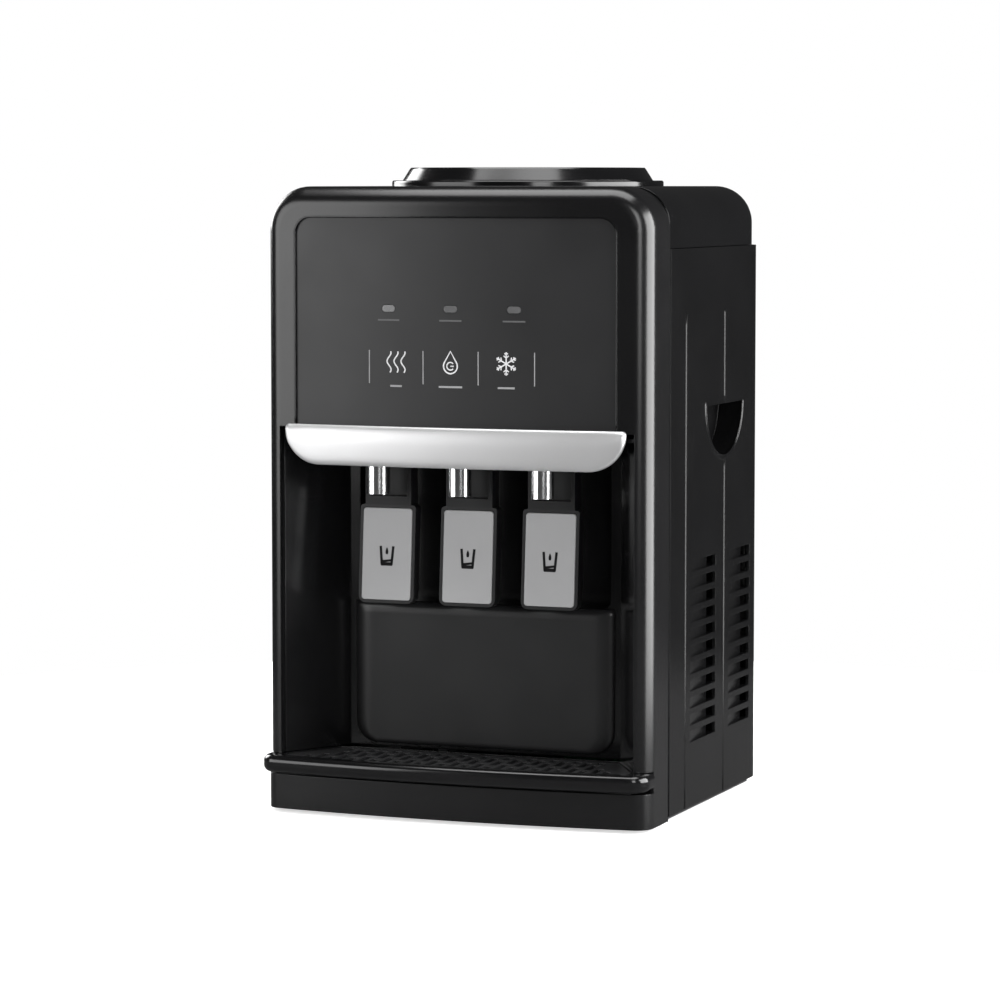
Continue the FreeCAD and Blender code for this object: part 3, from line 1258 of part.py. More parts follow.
def make_rear_fittings():
    gland_outer = rod("gland_outer", 6, "gland_x", "rear_y - 12", "foot_height + gland_height", 12.9, "y")
    gland_flange = rod("gland_flange", 8, "gland_x", "rear_y", "foot_height + gland_height", 0.9, "y")
    gland_nut = rod("gland_nut", 8, "gland_x", "rear_y - wall - 5", "foot_height + gland_height", 4.8,
        "y")
    gland_bore = rod("gland_bore", 3.6, "gland_x", "rear_y - 20", "foot_height + gland_height", 40, "y")
    piece(cut("gland", fuse("gland_solid", gland_outer, gland_flange, gland_nut), gland_bore),
        "cord_gland")
    z = "foot_height + drain_height"
    pipe = rod("drain_pipe", "hose_radius + 1.5", "hot_x", "rear_y - 35.8", z, 31.8, "y")
    collar = rod("drain_collar", "hose_radius + 4", "hot_x", "rear_y - 19.8", z, 2.5, "y")
    way = rod("drain_way", "hose_bore", "hot_x", "rear_y - 40", z, 60, "y")
    piece(cut("drain_cut", fuse("drain_solid", pipe, collar), way), "drain_spigot")
    cap = rod("cap_outer", "hose_radius + 6", "hot_x", "rear_y - 14.5", z, 13.5, "y")
    cap_room = rod("cap_room", "hose_radius + 1.5 + 0.08", "hot_x", "rear_y - 15", z, 11.5, "y")
    ribs = [
        rod(f"cap_flute_{n}", 1.2, f"hot_x + (hose_radius + 6.4) * cos({n * 30})", "rear_y - 16",
            f"{z} + (hose_radius + 6.4) * sin({n * 30})", 20, "y")
        for n in range(12)
    ]
    piece(cut("cap", cap, cap_room, *ribs), "drain_cap")


make_base()
make_feet()
make_apron()
make_tray()
make_grille()
make_frame()
make_panel()
make_lenses()
make_led_board()
make_bar()
make_liner()
make_splash()
for tap_kind, tap_side in TAPS:
    make_tap(tap_kind, tap_side)
make_tap_hardware()
make_side()
make_rear()
make_cover()
make_collar()
make_seat()
make_cold_side()
make_hot_side()
make_hoses()
make_cooling()
make_electrics()
make_rear_fittings()
doc.recompute()

failed = [item.Name for item in doc.Objects if "Invalid" in item.State or "Error" in item.State]
if failed:
    raise RuntimeError(f"these did not compute: {failed}")
for item in PIECES:
    if item.Shape.isNull() or not item.Shape.isValid():
        raise RuntimeError(f"{item.Label} has no valid shape")

os.makedirs("parts", exist_ok=True)
for item in PIECES:
    item.Shape.exportStep(f"parts/{item.Label}.step")
    print(item.Label, len(item.Shape.Solids), round(item.Shape.Volume))
print("pieces", len(PIECES))
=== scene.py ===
import json
import math

import bmesh
import bpy
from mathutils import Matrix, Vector


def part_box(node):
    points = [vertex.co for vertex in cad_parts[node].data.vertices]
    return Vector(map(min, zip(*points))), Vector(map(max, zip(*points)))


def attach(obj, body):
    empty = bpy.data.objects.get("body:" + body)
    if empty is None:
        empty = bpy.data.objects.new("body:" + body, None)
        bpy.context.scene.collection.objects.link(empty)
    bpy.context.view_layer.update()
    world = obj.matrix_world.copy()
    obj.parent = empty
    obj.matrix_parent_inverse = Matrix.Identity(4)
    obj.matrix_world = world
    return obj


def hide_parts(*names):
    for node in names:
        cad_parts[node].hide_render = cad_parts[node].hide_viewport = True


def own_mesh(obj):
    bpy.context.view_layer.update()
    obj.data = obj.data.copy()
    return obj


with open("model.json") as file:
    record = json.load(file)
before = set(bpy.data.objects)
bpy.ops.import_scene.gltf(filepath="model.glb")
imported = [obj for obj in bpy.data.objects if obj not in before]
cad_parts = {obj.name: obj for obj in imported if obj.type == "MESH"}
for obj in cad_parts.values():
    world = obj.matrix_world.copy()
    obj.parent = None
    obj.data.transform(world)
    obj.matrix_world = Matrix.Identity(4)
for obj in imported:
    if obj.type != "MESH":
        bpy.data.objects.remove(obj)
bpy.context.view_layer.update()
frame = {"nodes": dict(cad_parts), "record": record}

CABINET = "cabinet"
MM = 0.001
MICRON = 0.000001


# ---------------------------------------------------------------- materials

def new_material(name):
    material = bpy.data.materials.new(name)
    material.use_nodes = True
    nodes = material.node_tree.nodes
    shader = nodes["Principled BSDF"]
    return material, nodes, material.node_tree.links, shader


# the middle range that noise values mostly keep to
NOISE_LOW, NOISE_HIGH = 0.3, 0.7
DRIFT_SCALE = 14.0
FLECK_SCALE = 2600.0
PATCH_SCALE = 22.0


def noise(nodes, links, where, scale, detail=3.0, stretch=(1, 1, 1)):
    """Noise on the piece's own coordinates, whose scale along each axis is multiplied by stretch."""
    mapping = nodes.new("ShaderNodeMapping")
    mapping.inputs["Scale"].default_value = stretch
    links.new(where.outputs["Object"], mapping.inputs["Vector"])
    texture = nodes.new("ShaderNodeTexNoise")
    texture.inputs["Scale"].default_value = scale
    texture.inputs["Detail"].default_value = detail
    links.new(mapping.outputs["Vector"], texture.inputs["Vector"])
    return texture.outputs["Fac"]


def spread(nodes, links, value, low, high):
    """The value, from its usual middle range, mapped to low..high."""
    scale = nodes.new("ShaderNodeMapRange")
    scale.inputs["From Min"].default_value = NOISE_LOW
    scale.inputs["From Max"].default_value = NOISE_HIGH
    scale.inputs["To Min"].default_value = low
    scale.inputs["To Max"].default_value = high
    links.new(value, scale.inputs["Value"])
    return scale.outputs["Result"]


def bump_node(nodes, links, height, deep):
    bump = nodes.new("ShaderNodeBump")
    bump.inputs["Strength"].default_value = 1.0
    bump.inputs["Distance"].default_value = deep
    links.new(height, bump.inputs["Height"])
    return bump


def moulded(name, colour, rough, vary=0.12, grain=900.0, grain_deep=20 * MICRON, wave=9.0, wave_deep=0.0,
            metallic=0.0, specular=0.5, stretch=(1, 1, 1), rough_spread=0.05, edge=0.0):
    """A moulded, painted or polished surface.

    Its colour drifts slowly, its gloss changes in soft patches as if handled and wiped, and a
    fine grain and an optional slow waviness move the surface.
    """
    material, nodes, links, shader = new_material(name)
    where = nodes.new("ShaderNodeTexCoord")
    shader.inputs["Metallic"].default_value = metallic
    shader.inputs["Specular IOR Level"].default_value = specular

    drift = noise(nodes, links, where, DRIFT_SCALE, 4.0, stretch)
    ramp = nodes.new("ShaderNodeValToRGB")
    ramp.color_ramp.elements[0].position = NOISE_LOW
    ramp.color_ramp.elements[1].position = NOISE_HIGH
    ramp.color_ramp.elements[0].color = [c * (1 - vary) for c in colour] + [1]
    ramp.color_ramp.elements[1].color = [min(1.0, c * (1 + vary)) for c in colour] + [1]
    links.new(drift, ramp.inputs["Fac"])
    speck = noise(nodes, links, where, FLECK_SCALE, 2.0)
    fleck = spread(nodes, links, speck, 1 - vary * 0.6, 1 + vary * 0.6)
    mix = nodes.new("ShaderNodeMix")
    mix.data_type = "RGBA"
    mix.blend_type = "MULTIPLY"
    mix.inputs["Factor"].default_value = 1.0
    links.new(ramp.outputs["Color"], mix.inputs["A"])
    links.new(fleck, mix.inputs["B"])
    links.new(mix.outputs["Result"], shader.inputs["Base Color"])

    patches = noise(nodes, links, where, PATCH_SCALE, 5.0, stretch)
    links.new(spread(nodes, links, patches, max(0.02, rough - rough_spread), rough + rough_spread),
              shader.inputs["Roughness"])

    fine = noise(nodes, links, where, grain, 2.0, stretch)
    bump = bump_node(nodes, links, fine, grain_deep)
    last = bump
    if wave_deep:
        last = bump_node(nodes, links, noise(nodes, links, where, wave, 1.0), wave_deep)
        links.new(bump.outputs["Normal"], last.inputs["Normal"])
    if edge:
        round_edge = nodes.new("ShaderNodeBevel")
        round_edge.samples = 4
        round_edge.inputs["Radius"].default_value = edge
        links.new(round_edge.outputs["Normal"], bump.inputs["Normal"])
    links.new(last.outputs["Normal"], shader.inputs["Normal"])
    return material


LOOKS = {
    "black_gloss": moulded("piano_black", (0.004, 0.004, 0.0043), 0.15, vary=0.1, grain=700,
                           grain_deep=2 * MICRON, wave=12, wave_deep=80 * MICRON, rough_spread=0.03,
                           edge=0.7 * MM),
    "black_side": moulded("side_black", (0.0035, 0.0035, 0.0037), 0.22, vary=0.12, grain=500,
                          grain_deep=3 * MICRON, wave=9, wave_deep=150 * MICRON, rough_spread=0.03,
                          edge=0.7 * MM, specular=0.28),
    "black_front": moulded("front_black", (0.0045, 0.0045, 0.0048), 0.25, vary=0.1, grain=900,
                           grain_deep=3 * MICRON, wave=12, wave_deep=50 * MICRON, rough_spread=0.02,
                           edge=0.7 * MM),
    "black_satin": moulded("satin_black", (0.008, 0.008, 0.0084), 0.36, vary=0.12, grain=1400,
                           grain_deep=10 * MICRON, rough_spread=0.05, edge=0.6 * MM, specular=0.35),
    "black_matte": moulded("matte_black", (0.02, 0.02, 0.021), 0.55, vary=0.18, grain=1100,
                           grain_deep=30 * MICRON, rough_spread=0.07, edge=0.5 * MM),
    "grille_black": moulded("grille_black", (0.022, 0.022, 0.023), 0.34, vary=0.14, grain=1200,
                            grain_deep=10 * MICRON, rough_spread=0.05, edge=0.5 * MM),
    "splash": moulded("splash_black", (0.0105, 0.0105, 0.011), 0.3, vary=0.1, grain=1400,
                      grain_deep=8 * MICRON, rough_spread=0.03),
    "fascia": moulded("fascia_charcoal", (0.0105, 0.0105, 0.0112), 0.42, vary=0.1, grain=1900,
                      grain_deep=8 * MICRON, rough_spread=0.035, edge=0.4 * MM),
    "silver": moulded("silver_paint", (0.67, 0.67, 0.675), 0.42, vary=0.03, grain=2600,
                      grain_deep=6 * MICRON, metallic=0.8, rough_spread=0.03),
    "chrome": moulded("spout_chrome", (0.93, 0.93, 0.94), 0.2, vary=0.03, grain=400,
                      grain_deep=1 * MICRON, metallic=1.0, rough_spread=0.03, edge=0.4 * MM),
    "pad_grey": moulded("pad_grey", (0.25, 0.25, 0.253), 0.46, vary=0.04, grain=1700,
                        grain_deep=12 * MICRON, rough_spread=0.05, edge=1.2 * MM),
    "lens": moulded("lamp_lens", (0.1, 0.1, 0.102), 0.16, vary=0.1, grain=1500, grain_deep=10 * MICRON,
                    rough_spread=0.05, edge=0.3 * MM),
    "steel": moulded("stainless", (0.55, 0.55, 0.56), 0.28, vary=0.06, grain=900, grain_deep=6 * MICRON,
                     metallic=1.0, stretch=(1, 1, 12), rough_spread=0.08, edge=0.2 * MM),
    "aluminium": moulded("aluminium", (0.7, 0.7, 0.72), 0.36, vary=0.06, grain=1200,
                         grain_deep=10 * MICRON, metallic=1.0, rough_spread=0.08, edge=0.2 * MM),
    "foam": moulded("bead_foam", (0.84, 0.84, 0.82), 0.8, vary=0.06, grain=300, grain_deep=300 * MICRON,
                    edge=0.5 * MM),
    "white_plastic": moulded("white_plastic", (0.74, 0.74, 0.71), 0.4, vary=0.04, grain=1300,
                             grain_deep=10 * MICRON, edge=0.3 * MM),
    "silicone": moulded("silicone", (0.66, 0.66, 0.62), 0.5, vary=0.05, grain=900,
                        grain_deep=10 * MICRON),
    "rubber": moulded("rubber", (0.015, 0.015, 0.015), 0.72, vary=0.2, grain=900, grain_deep=50 * MICRON),
    "board_green": moulded("circuit_board", (0.02, 0.12, 0.045), 0.42, vary=0.25, grain=800,
                           grain_deep=20 * MICRON),
    "ceramic_white": moulded("ceramic", (0.82, 0.82, 0.8), 0.45, vary=0.03, grain=1500,
                             grain_deep=10 * MICRON),
    "red_plastic": moulded("switch_red", (0.42, 0.015, 0.01), 0.3, vary=0.08, grain=1200,
                           grain_deep=10 * MICRON, edge=0.3 * MM),
    "green_plastic": moulded("switch_green", (0.01, 0.2, 0.03), 0.3, vary=0.08, grain=1200,
                             grain_deep=10 * MICRON, edge=0.3 * MM),
    "print_white": moulded("print_white", (0.62, 0.62, 0.63), 0.55, vary=0.05, grain=2000,
                           grain_deep=4 * MICRON),
    "print_grey": moulded("print_grey", (0.27, 0.27, 0.275), 0.55, vary=0.05, grain=2000,
                          grain_deep=4 * MICRON),
    "print_faint": moulded("print_faint", (0.09, 0.09, 0.092), 0.55, vary=0.05, grain=2000,
                           grain_deep=4 * MICRON),
    "print_dark": moulded("print_dark", (0.006, 0.006, 0.0065), 0.8, vary=0.1, grain=2000,
                          grain_deep=4 * MICRON, specular=0.15),
}

# Pieces whose finish differs a little from the rest of their slot.
OWN_LOOKS = {"side_panel_right": "black_side", "side_panel_left": "black_side", "front_frame": "black_front",
             "base_apron": "black_front", "drip_grille": "grille_black"}


def dress_cad_nodes():
    slots = {entry["node"]: entry["material_slot"] for entry in frame["record"]["subparts"]}
    for name, piece in frame["nodes"].items():
        look = LOOKS[OWN_LOOKS.get(name, slots[name])]
        piece.data.materials.clear()
        piece.data.materials.append(look)


# ---------------------------------------------------------------- mesh helpers

def add_piece(name, vertices, faces, look, body=CABINET, smooth=True):
    mesh = bpy.data.meshes.new(name)
    mesh.from_pydata([tuple(v) for v in vertices], [], faces)
    mesh.validate()
    fix = bmesh.new()
    fix.from_mesh(mesh)
    bmesh.ops.recalc_face_normals(fix, faces=fix.faces)
    fix.to_mesh(mesh)
    fix.free()
    piece = bpy.data.objects.new(name, mesh)
    bpy.context.collection.objects.link(piece)
    mesh.materials.append(LOOKS[look])
    if smooth:
        mesh.shade_smooth()
    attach(piece, body)
    return piece


# ---------------------------------------------------------------- fascia marks

panel_low, panel_high = [Vector(corner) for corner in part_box("control_panel")]
frame_low, frame_high = [Vector(corner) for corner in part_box("front_frame")]
bar_low, bar_high = [Vector(corner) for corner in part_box("silver_trim_bar")]

HALF_WIDTH = frame_high.x
SAGITTA = 9 * MM
BOW_RADIUS = (HALF_WIDTH ** 2 + SAGITTA ** 2) / (2 * SAGITTA)
FACE_FRONT = frame_low.y


def face_y(x, proud=0.0):
    """How far forward the bowed face is at x, moved forward by proud."""
    return FACE_FRONT - proud + BOW_RADIUS - math.sqrt(BOW_RADIUS ** 2 - x * x)


PANEL_SUNK = 1.5 * MM
PRINT_HIGH = 0.12 * MM


def ribbon(path, widths, surface, under, over, closed=False):
    """A thin raised line along a path of (x, z) points, as wide at each point as widths says.

    surface(x, z) gives the y that it lies on. It reaches under behind that y and over in front of it.
    """
    count = len(path)
    vertices = []
    for index, (x, z) in enumerate(path):
        ahead = path[(index + 1) % count] if closed or index + 1 < count else path[index]
        behind = path[index - 1] if closed or index else path[index]
        along = Vector((ahead[0] - behind[0], ahead[1] - behind[1])).normalized()
        side = Vector((-along.y, along.x)) * widths[index] / 2
        for sign in (-1, 1):
            px, pz = x + sign * side.x, z + sign * side.y
            level = surface(px, pz)
            vertices += [(px, level + under, pz), (px, level - over, pz)]
    faces = []
    for index in range(count if closed else count - 1):
        a = 4 * index
        b = 4 * ((index + 1) % count)
        faces += [(a + 1, b + 1, b + 3, a + 3), (a, a + 2, b + 2, b)]
        faces += [(a, b, b + 1, a + 1), (a + 2, a + 3, b + 3, b + 2)]
    if not closed:
        last = 4 * (count - 1)
        faces += [(0, 1, 3, 2), (last, last + 2, last + 3, last + 1)]
    return vertices, faces


def on_panel(x, z):
    """The y of the control panel's face, the same at every height z."""
    return face_y(x, -PANEL_SUNK)


def stroke(path, width, closed=False):
    """A printed line on the fascia."""
    return ribbon(path, [width] * len(path), on_panel, PRINT_HIGH, PRINT_HIGH, closed)


def join_strokes(name, strokes, look="print_white", body=CABINET):
    vertices = []
    faces = []
    for some_vertices, some_faces in strokes:
        base = len(vertices)
        vertices += some_vertices
        faces += [tuple(base + v for v in face) for face in some_faces]
    add_piece(name, vertices, faces, look, body, smooth=False)


def arc_points(cx, cz, radius, start, end, count):
    points = []
    for n in range(count + 1):
        turn = math.radians(start + (end - start) * n / count)
        points.append((cx + radius * math.cos(turn), cz + radius * math.sin(turn)))
    return points


ICON_TALL = 15.6 * MM
LINE = 0.9 * MM
COLUMN = 40 * MM

# heights over the panel's lower edge
DIVIDER_UP = 32 * MM
ICON_UP = DIVIDER_UP + 14.8 * MM
CAPTION_UP = 30.5 * MM

DIVIDER_TALL = 22.6 * MM
DIVIDER_WIDE = 0.7 * MM
CAPTION_WIDE = 1.3 * MM
LAMP_MARK_DROP = 5.5 * MM
LAMP_MARK_HALF = 8 * MM
LAMP_MARK_WIDE = 1.1 * MM
LENS_HALF = 4.75 * MM


def make_dividers():
    low = panel_low.z + DIVIDER_UP
    strokes = []
    for column in (-1.5, -0.5, 0.5, 1.5):
        x = column * COLUMN
        strokes.append(stroke([(x, low), (x, low + DIVIDER_TALL)], DIVIDER_WIDE))
    join_strokes("fascia_dividers", strokes, "print_grey")


def make_steam(cx, cz):
    spacing = 5.2 * MM
    swing = 1.5 * MM
    waves = 1.25
    steps = 24
    strokes = []
    for column in (-1, 0, 1):
        path = []
        for n in range(steps + 1):
            up = n / steps
            x = cx + column * spacing + swing * math.sin(2 * math.pi * up * waves + 0.5)
            path.append((x, cz + (up - 0.5) * ICON_TALL * 0.92))
        strokes.append(stroke(path, LINE))
    join_strokes("icon_steam", strokes)


def make_droplet(cx, cz):
    """A droplet with a curl in it that ends in a short bar."""
    radius = 5.0 * MM
    low = cz - 2.2 * MM
    tip = (cx, cz + ICON_TALL * 0.5)
    outline = [tip] + arc_points(cx, low, radius, 150, 390, 30)
    thin = LINE * 0.9
    strokes = [stroke(outline, LINE, closed=True),
               stroke(arc_points(cx, low, radius * 0.52, 40, 320, 16), thin),
               stroke([(cx, low), (cx + radius * 0.5, low)], thin)]
    join_strokes("icon_droplet", strokes)


def make_snowflake(cx, cz):
    strokes = []
    reach = ICON_TALL * 0.5
    for n in range(6):
        angle = math.radians(60 * n + 30)
        c, s = math.cos(angle), math.sin(angle)
        strokes.append(stroke([(cx, cz), (cx + reach * c, cz + reach * s)], LINE))
        for at, long in ((0.5, 0.3), (0.78, 0.2)):
            base = (cx + reach * at * c, cz + reach * at * s)
            for turn in (-50, 50):
                b = angle + math.radians(turn)
                tip = (base[0] + reach * long * math.cos(b), base[1] + reach * long * math.sin(b))
                strokes.append(stroke([base, tip], LINE * 0.85))
    join_strokes("icon_snowflake", strokes)


def make_label_marks():
    """Plain dashes in place of captions: three under the icons, three under the lamps."""
    strokes = []
    z = panel_low.z + CAPTION_UP
    for cx, long in ((-COLUMN, 8.5 * MM), (0, 17 * MM), (COLUMN, 12 * MM)):
        strokes.append(stroke([(cx - long / 2, z), (cx + long / 2, z)], CAPTION_WIDE))
    join_strokes("caption_marks", strokes, "print_grey")
    lamp_low, lamp_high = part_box("indicator_lenses")
    z = lamp_low[2] - LAMP_MARK_DROP
    pitch = (lamp_high[0] - lamp_low[0]) / 2 - LENS_HALF
    strokes = []
    for cx in (-pitch, 0, pitch):
        strokes.append(stroke([(cx - LAMP_MARK_HALF, z), (cx + LAMP_MARK_HALF, z)], LAMP_MARK_WIDE))
    join_strokes("lamp_marks", strokes, "print_faint")


def make_marks():
    make_dividers()
    middle = panel_low.z + ICON_UP
    make_steam(-COLUMN, middle)
    make_droplet(0, middle)
    make_snowflake(COLUMN, middle)
    make_label_marks()


# ---------------------------------------------------------------- cup marks on the pads

PAD_LEAN = 5 / 68
CUP_HALF = 6.4 * MM
CUP_TOP = 4.7 * MM
CUP_FOOT = 3.6 * MM
CUP_SIDE_WIDE = 1.8 * MM
CUP_FOOT_WIDE = 2.4 * MM
WATER_WIDE = 1.6 * MM
MARK_UNDER = 0.1 * MM
MARK_OVER = 0.12 * MM
DROP_STEPS = 8


def cup_strokes(cx, cz, surface):
    """A cup with its foot, the water in it and a drop over the water."""
    brim = cz + CUP_HALF
    foot = cz - CUP_HALF
    foot_reach = CUP_FOOT + 0.6 * MM
    foot_z = foot + 0.5 * MM
    lines = [
        ([(cx - CUP_TOP, brim), (cx - CUP_FOOT, foot)], CUP_SIDE_WIDE),
        ([(cx + CUP_TOP, brim), (cx + CUP_FOOT, foot)], CUP_SIDE_WIDE),
        ([(cx - foot_reach, foot_z), (cx + foot_reach, foot_z)], CUP_FOOT_WIDE),
        ([(cx - CUP_FOOT, foot + 2.2 * MM), (cx + CUP_FOOT * 1.1, foot + 3.2 * MM)], WATER_WIDE),
    ]
    strokes = [ribbon(path, [width] * len(path), surface, MARK_UNDER, MARK_OVER) for path, width in lines]
    drop = []
    widths = []
    for n in range(DROP_STEPS + 1):
        up = n / DROP_STEPS
        drop.append((cx, brim - 5.6 * MM + 4.6 * MM * up))
        widths.append((0.3 + 1.7 * math.sin(math.pi * (0.22 + 0.78 * up))) * MM)
    strokes.append(ribbon(drop, widths, surface, MARK_UNDER, MARK_OVER))
    return strokes


def make_pad_marks():
    for kind in ("hot", "normal", "cold"):
        low, high = [Vector(corner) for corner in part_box(f"{kind}_pad_insert")]

        def surface(x, z):
            return low.y + (z - low.z) * PAD_LEAN

        strokes = cup_strokes((low.x + high.x) / 2, (low.z + high.z) / 2 - 1.0 * MM, surface)
        join_strokes(f"{kind}_pad_mark", strokes, "print_dark", f"{kind}_lever_body")


# ---------------------------------------------------------------- trim bar

def make_trim_bar():
    """The silver bar as one crowned moulding, with a rolled upper edge and two swept lower corners."""
    left, right = bar_low.x, bar_high.x
    low, high = bar_low.z, bar_high.z
    columns = 120
    corner = 26 * MM
    small = 3 * MM
    end_roll = 3.2 * MM
    end_rise = 0.12
    crown = 0.275 * MM
    proud = 3.9 * MM
    base = 0.3 * MM
    thinnest = 0.05 * MM

    def reach(x):
        """The lowest and highest point of the bar's outline at x."""
        inward = min(x - left, right - x)
        bottom, top = low, high
        if inward < corner:
            bottom = low + corner - math.sqrt(max(0.0, corner ** 2 - (corner - inward) ** 2))
        if inward < small:
            top = high - small + math.sqrt(max(0.0, small ** 2 - (small - inward) ** 2))
        return min(bottom, top - thinnest), top

    # Columns close up towards the two ends, where the outline turns
    xs = []
    for n in range(columns + 1):
        xs.append(left + (right - left) * (0.5 - 0.5 * math.cos(math.pi * n / columns)))
    # The section from the bottom edge over the face to the top edge, as shares of its height and its rise.
    section = [(0.0, 0.0), (0.0, 0.45), (0.012, 0.68), (0.035, 0.83), (0.075, 0.92), (0.14, 0.965),
               (0.24, 0.99), (0.38, 1.0), (0.54, 1.0), (0.63, 0.985), (0.71, 0.94), (0.78, 0.87),
               (0.845, 0.77), (0.9, 0.65), (0.95, 0.5), (0.985, 0.33), (1.0, 0.15), (1.0, 0.0)]
    rows = len(section)
    vertices = []
    for n, x in enumerate(xs):
        bottom, top = reach(x)
        inward = min(x - left, right - x)
        end = min(1.0, inward / end_roll)
        fall = math.sqrt(max(0.0, 1 - (1 - end) ** 2))
        for up, out in section:
            level = base + (proud - base) * out * (end_rise + (1 - end_rise) * fall)
            level -= crown * (1 - (1 - abs(2 * up - 1)) ** 0.5) * out
            vertices.append((x, face_y(x, level), bottom + (top - bottom) * up))
    faces = []
    for n in range(columns):
        for m in range(rows - 1):
            a = n * rows + m
            b = a + rows
            faces.append((a, b, b + 1, a + 1))
        a = n * rows
        b = a + rows
        faces.append((a, a + rows - 1, b + rows - 1, b))
    faces.append(tuple(range(rows)))
    faces.append(tuple(reversed(range(columns * rows, (columns + 1) * rows))))
    piece = add_piece("trim_bar", vertices, faces, "silver")
    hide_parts("silver_trim_bar")


# ---------------------------------------------------------------- moulded beads

def bead(name, path, place, width, rise, sink, look, closed=False):
    """A half-round moulding along a path of (u, v) points; place(u, v, out) gives the point in space."""
    count = len(path)
    arc = 8
    vertices = []
    for index, (u, v) in enumerate(path):
        ahead = path[(index + 1) % count] if closed or index + 1 < count else path[index]
        behind = path[index - 1] if closed or index else path[index]
        along = Vector((ahead[0] - behind[0], ahead[1] - behind[1])).normalized()
        across = Vector((-along.y, along.x)) * width / 2
        vertices.append(place(u - across.x, v - across.y, -sink))
        for n in range(arc + 1):
            turn = math.pi * n / arc
            reach = -math.cos(turn)
            vertices.append(place(u + across.x * reach, v + across.y * reach, rise * math.sin(turn)))
        vertices.append(place(u + across.x, v + across.y, -sink))
    ring = arc + 3
    faces = []
    for index in range(count if closed else count - 1):
        a = ring * index
        b = ring * ((index + 1) % count)
        for n in range(ring):
            m = (n + 1) % ring
            faces.append((a + n, b + n, b + m, a + m))
    if not closed:
        faces += [tuple(range(ring)), tuple(reversed(range(ring * (count - 1), ring * count)))]
    add_piece(name, vertices, faces, look)


def make_panel_bead():
    """The fine rolled edge round the fascia insert."""
    half = panel_high.x
    top = panel_high.z
    corner = 12 * MM
    foot = panel_low.z + 0.5 * MM
    below = 0.35 * MM
    up = top - corner - panel_low.z
    path = [(-half, foot + up * n / 20) for n in range(20)]
    path += arc_points(-half + corner, top - corner, corner, 180, 90, 12)
    path += [(-half + corner + 2 * (half - corner) * n / 80, top) for n in range(1, 80)]
    path += arc_points(half - corner, top - corner, corner, 90, 0, 12)
    path += [(half, top - corner - (top - corner - foot) * n / 20) for n in range(1, 21)]

    def place(x, z, out):
        return (x, face_y(x, out - below), z)

    bead("panel_bead", path, place, 1.5 * MM, 0.3 * MM, 0.9 * MM, "black_gloss")


GRIP_HALF = 42 * MM
GRIP_DEEP = 38 * MM
GRIP_UP = 276 * MM
GROOVE_FOOT = 0.4 * MM
GROOVE_HEAD = 340.5 * MM
GROOVE_SUNK = 1 * MM
# how far the two grooves are from the rear edge; the second one is in line with the grip
FRONT_GROOVE = 177 * MM
GRIP_GROOVE = 91 * MM
GRIP_CLEAR_BELOW = 41 * MM
GRIP_CLEAR_ABOVE = 2.5 * MM


def grip_path(grip_y, grip_z, grow):
    """The hand grip's outline, half an ellipse under a straight edge, moved outward by grow."""
    path = []
    for step in range(49):
        turn = math.pi + math.pi * step / 48
        y = grip_y + (GRIP_HALF + grow) * math.cos(turn)
        path.append((y, grip_z + (GRIP_DEEP + grow) * math.sin(turn)))
    path += [(grip_y + (GRIP_HALF + grow) * (1 - step / 12), grip_z + grow) for step in range(1, 24)]
    return path


def make_side_beads():
    """Ridges in the two grooves and a rim round the hand grip, on both side panels."""
    low, high = [Vector(corner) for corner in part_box("side_panel_right")]
    foot = low.z + GROOVE_FOOT
    head = low.z + GROOVE_HEAD
    grip_y = high.y - GRIP_GROOVE
    grip_z = low.z + GRIP_UP
    grooves = [(high.y - FRONT_GROOVE, [(foot, head)]),
               (grip_y, [(foot, grip_z - GRIP_CLEAR_BELOW), (grip_z + GRIP_CLEAR_ABOVE, head)])]
    rims = ((1.6 * MM, 2.4 * MM, 0.42 * MM), (-0.4 * MM, 1.2 * MM, 0.3 * MM))
    for sign, hand in ((1, "right"), (-1, "left")):
        def place(y, z, out):
            return (sign * (high.x + out), y, z)

        def groove_place(y, z, out):
            return (sign * (high.x - GROOVE_SUNK + out), y, z)

        for n, (y, runs) in enumerate(grooves):
            for part, (start, end) in enumerate(runs):
                path = [(y, start + (end - start) * step / 24) for step in range(25)]
                bead(f"groove_ridge_{hand}_{n}_{part}", path, groove_place, 2.6 * MM, 1.35 * MM, 0.2 * MM,
                     "black_side")
        for part, (grow, wide, rise) in enumerate(rims):
            path = grip_path(grip_y, grip_z, grow)
            bead(f"grip_rim_{hand}_{part}", path, place, wide, rise, 0.8 * MM, "black_gloss", closed=True)


# ---------------------------------------------------------------- backsplash

